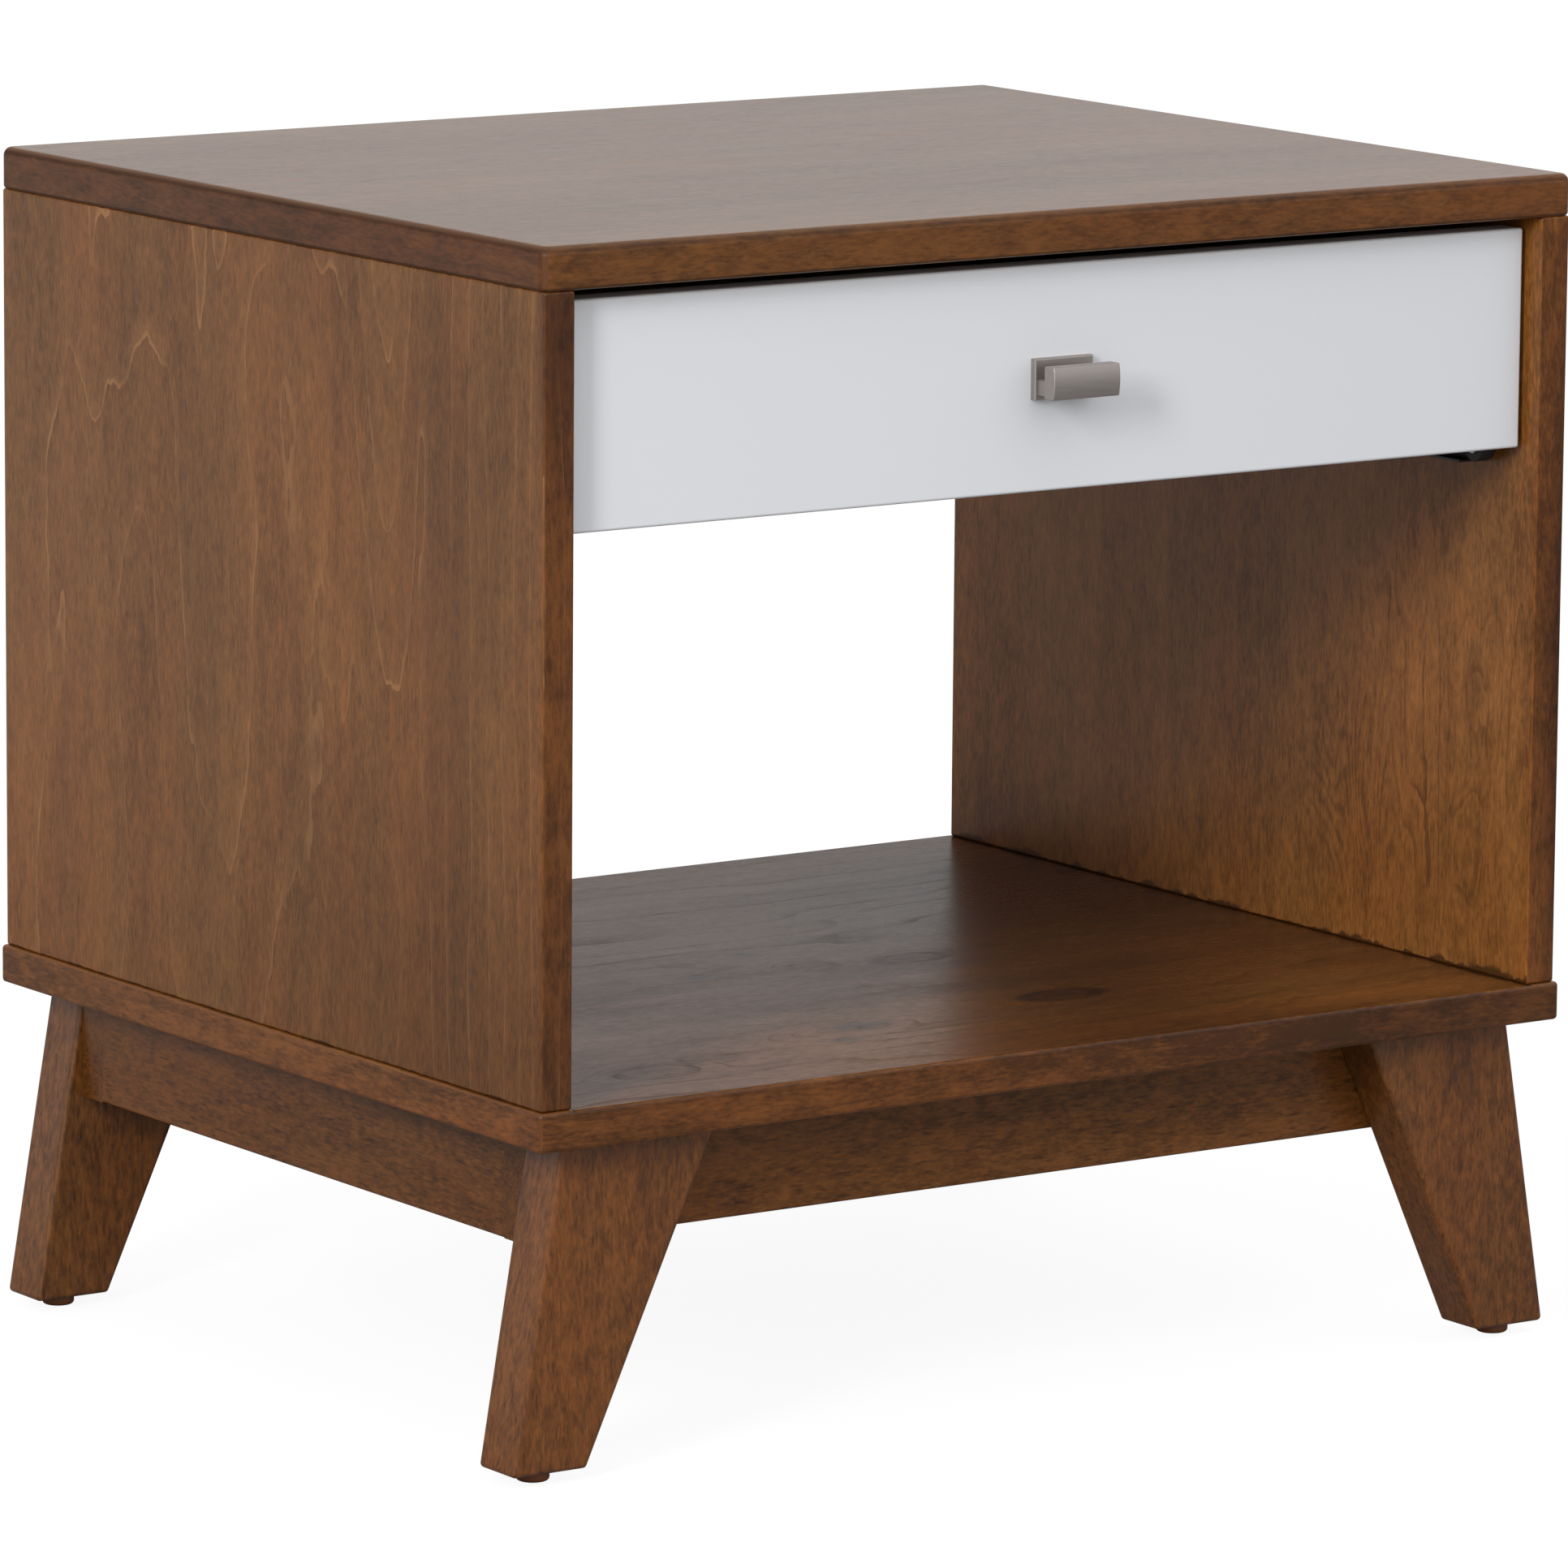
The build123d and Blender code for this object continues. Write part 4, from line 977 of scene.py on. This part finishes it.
def moulded(name, tint, rough, grain, strength):
    """A dull moulded or coated surface with a fine texture, in waves per metre, and pale scuffs."""
    made, tree, shader, spot = new_material(name)
    dots = noise(tree, "fine texture", spot["Object"], grain)
    scuff = noise(tree, "scuffs", spot["Object"], 90.0, 4.0, 0.65)
    share = step(tree, "scuff edges", scuff, 0.5, 0.75, 0.0, 0.35)
    pale = tuple(min(1.0, 2.2 * part + 0.01) for part in tint)
    feed(tree, shader.inputs["Base Color"], blend(tree, "scuffs", share, tint, pale))
    rough = step(tree, "uneven sheen", dots, 0.2, 0.8, rough - 0.07, rough + 0.07)
    feed(tree, shader.inputs["Roughness"], rough)
    raise_surface(tree, shader, "fine texture", strength, BARE_RELIEF, dots)
    return made


class SIDETABLE_OT_runners(bpy.types.Operator):
    """Coats the drawer runners and their rollers."""

    bl_idname = "side_table.runners"
    bl_label = "Runners and rollers"

    def execute(self, context):
        look = finish()
        steel = moulded("black coat", look.black_coat, rough=0.45, grain=900.0, strength=0.15)
        runners = [f"{side}_{kind}_runner" for side in SIDES for kind in ("cabinet", "drawer")]
        dress(steel, "black_steel", *runners)
        nylon = moulded("nylon", look.nylon, rough=0.55, grain=1500.0, strength=0.1)
        dress(nylon, "black_nylon", *(f"{side}_{end}_roller" for side in SIDES for end in ENDS))
        return {"FINISHED"}


class SIDETABLE_OT_fixings(bpy.types.Operator):
    """Finishes the dowels, screws, nails, rivets and foot glides."""

    bl_idname = "side_table.fixings"
    bl_label = "Fixings and glides"

    def execute(self, context):
        look = finish()
        zinc = metal("zinc", look.zinc, rough=0.38, brush=700.0, strength=0.12)
        dress(
            zinc,
            "zinc_steel",
            "leg_screws",
            "base_screws",
            "glide_nails",
            "front_roller_rivets",
            "rear_roller_rivets",
            "cabinet_runner_screws",
            "drawer_runner_screws",
            "drawer_front_screws",
            "pull_screws",
        )
        dowels = birch("beech dowels", 13.0, turn=ALONG_X, pith=(0.0, 0.0, 0.0))
        joints = ("top", "bottom", "back_rail", "base", "drawer")
        dress(dowels, "beech", *(f"{joint}_dowels" for joint in joints))
        plastic = moulded("glide plastic", look.glide, rough=0.5, grain=1200.0, strength=0.12)
        dress(plastic, "glide_plastic", *(f"{corner}_glide" for corner in CORNERS))
        return {"FINISHED"}


def outlook(azimuth, elevation, distance, roll=0.0):
    """Where something that faces the aim stands, and its turn."""
    turn = Matrix.Rotation(azimuth, 3, "Z") @ Matrix.Rotation(QUARTER - elevation, 3, "X")
    turn = turn @ Matrix.Rotation(roll, 3, "Z")
    aim = Vector(bpy.context.scene.side_table_stage.aim)
    return aim + turn @ Vector((0.0, 0.0, distance)), turn.to_euler()


class SIDETABLE_OT_stage(bpy.types.Operator):
    """Sets the floor, the lights and the camera."""

    bl_idname = "side_table.stage"
    bl_label = "Stage"

    def execute(self, context):
        context.scene.view_settings.view_transform = "Standard"
        bpy.ops.object.select_all(action="DESELECT")
        stage = context.scene.side_table_stage
        self.lay_floor(context, stage)
        self.hang_key(context, stage)
        self.light_sky(context, stage)
        self.set_camera(context, stage)
        return {"FINISHED"}

    def lay_floor(self, context, stage):
        bpy.ops.mesh.primitive_plane_add(size=stage.floor_size, location=(0.0, 0.0, -FLOOR_DROP))
        floor = context.object
        floor.name = "floor"
        paper, tree, shader, spot = new_material("paper")
        shader.inputs["Roughness"].default_value = PAPER_ROUGHNESS
        shader.inputs["Specular IOR Level"].default_value = 0.0
        depth = axes(tree, "front to back", spot["Object"])[1]
        lit = step(tree, "dim foreground", depth, 0.0, PAPER_FADE, stage.floor_front, stage.floor_back)
        seen = add(tree, "LightPath", "what looks at the paper").outputs["Is Camera Ray"]
        feed(tree, shader.inputs["Base Color"], blend(tree, "paper", seen, lit, stage.floor))
        feed(tree, shader.inputs["Emission Color"], seen)
        shader.inputs["Emission Strength"].default_value = stage.floor_glow
        floor.data.materials.append(paper)

    def hang_key(self, context, stage):
        place, turn = outlook(stage.key_azimuth, stage.key_elevation, stage.key_distance)
        bpy.ops.object.light_add(type="AREA", location=place, rotation=turn)
        key = context.object
        key.name = "key"
        key.data.shape = "RECTANGLE"
        key.data.size = stage.key_width
        key.data.size_y = stage.key_height
        key.data.energy = stage.key_power

    def light_sky(self, context, stage):
        world = bpy.data.worlds.new("studio")
        context.scene.world = world
        world.use_nodes = True
        tree = world.node_tree
        sky = tree.nodes["Background"]
        sky.inputs["Color"].default_value = (1.0, 1.0, 1.0, 1.0)
        _, turn = outlook(stage.sky_azimuth, stage.sky_elevation, 1.0)
        lean = turn.to_matrix() @ Vector((0.0, 0.0, 1.0))
        way = add(tree, "TexCoord", "way out").outputs["Generated"]
        toward = add(tree, "VectorMath", "toward the brightest", {0: way, 1: lean}, operation="DOT_PRODUCT")
        spread = {0: toward.outputs["Value"], 3: stage.sky_low, 4: stage.sky_high}
        glow = add(tree, "MapRange", "soft sky", spread).outputs[0]
        seen = add(tree, "LightPath", "what looks at the sky").outputs["Is Camera Ray"]
        feed(tree, sky.inputs["Strength"], ease(tree, "white to the camera", seen, glow, 1.0))

    def set_camera(self, context, stage):
        place, turn = outlook(
            stage.camera_azimuth, stage.camera_elevation, stage.camera_distance, stage.camera_roll
        )
        bpy.ops.object.camera_add(location=place, rotation=turn)
        camera = context.object
        camera.name = "camera"
        camera.data.lens = stage.camera_lens
        camera.data.sensor_width = SENSOR_WIDTH
        camera.data.clip_end = CLIP_END
        context.scene.camera = camera


STEPS = (
    SIDETABLE_OT_effects,
    SIDETABLE_OT_boards,
    SIDETABLE_OT_base,
    SIDETABLE_OT_drawer,
    SIDETABLE_OT_pull,
    SIDETABLE_OT_runners,
    SIDETABLE_OT_fixings,
    SIDETABLE_OT_stage,
)


class SIDETABLE_PT_panel(bpy.types.Panel):
    """Lists the steps, the finishes and the stage in the sidebar."""

    bl_label = "Side table"
    bl_idname = "SIDETABLE_PT_panel"
    bl_space_type = "VIEW_3D"
    bl_region_type = "UI"
    bl_category = "Side table"

    def draw(self, context):
        for made in STEPS:
            self.layout.operator(made.bl_idname)
        for group in (context.scene.side_table_finish, context.scene.side_table_stage):
            box = self.layout.box()
            for name in group.__annotations__:
                box.prop(group, name)


CLASSES = (SIDETABLE_PG_finish, SIDETABLE_PG_stage, *STEPS, SIDETABLE_PT_panel)


def register():
    for made in CLASSES:
        bpy.utils.register_class(made)
    bpy.types.Scene.side_table_finish = PointerProperty(type=SIDETABLE_PG_finish)
    bpy.types.Scene.side_table_stage = PointerProperty(type=SIDETABLE_PG_stage)


def unregister():
    del bpy.types.Scene.side_table_stage
    del bpy.types.Scene.side_table_finish
    for made in reversed(CLASSES):
        bpy.utils.unregister_class(made)


def main():
    register()
    bpy.ops.side_table.effects()
    bpy.ops.side_table.boards()
    bpy.ops.side_table.base()
    bpy.ops.side_table.drawer()
    bpy.ops.side_table.pull()
    bpy.ops.side_table.runners()
    bpy.ops.side_table.fixings()
    bpy.ops.side_table.stage()


if __name__ == "__main__":
    main()
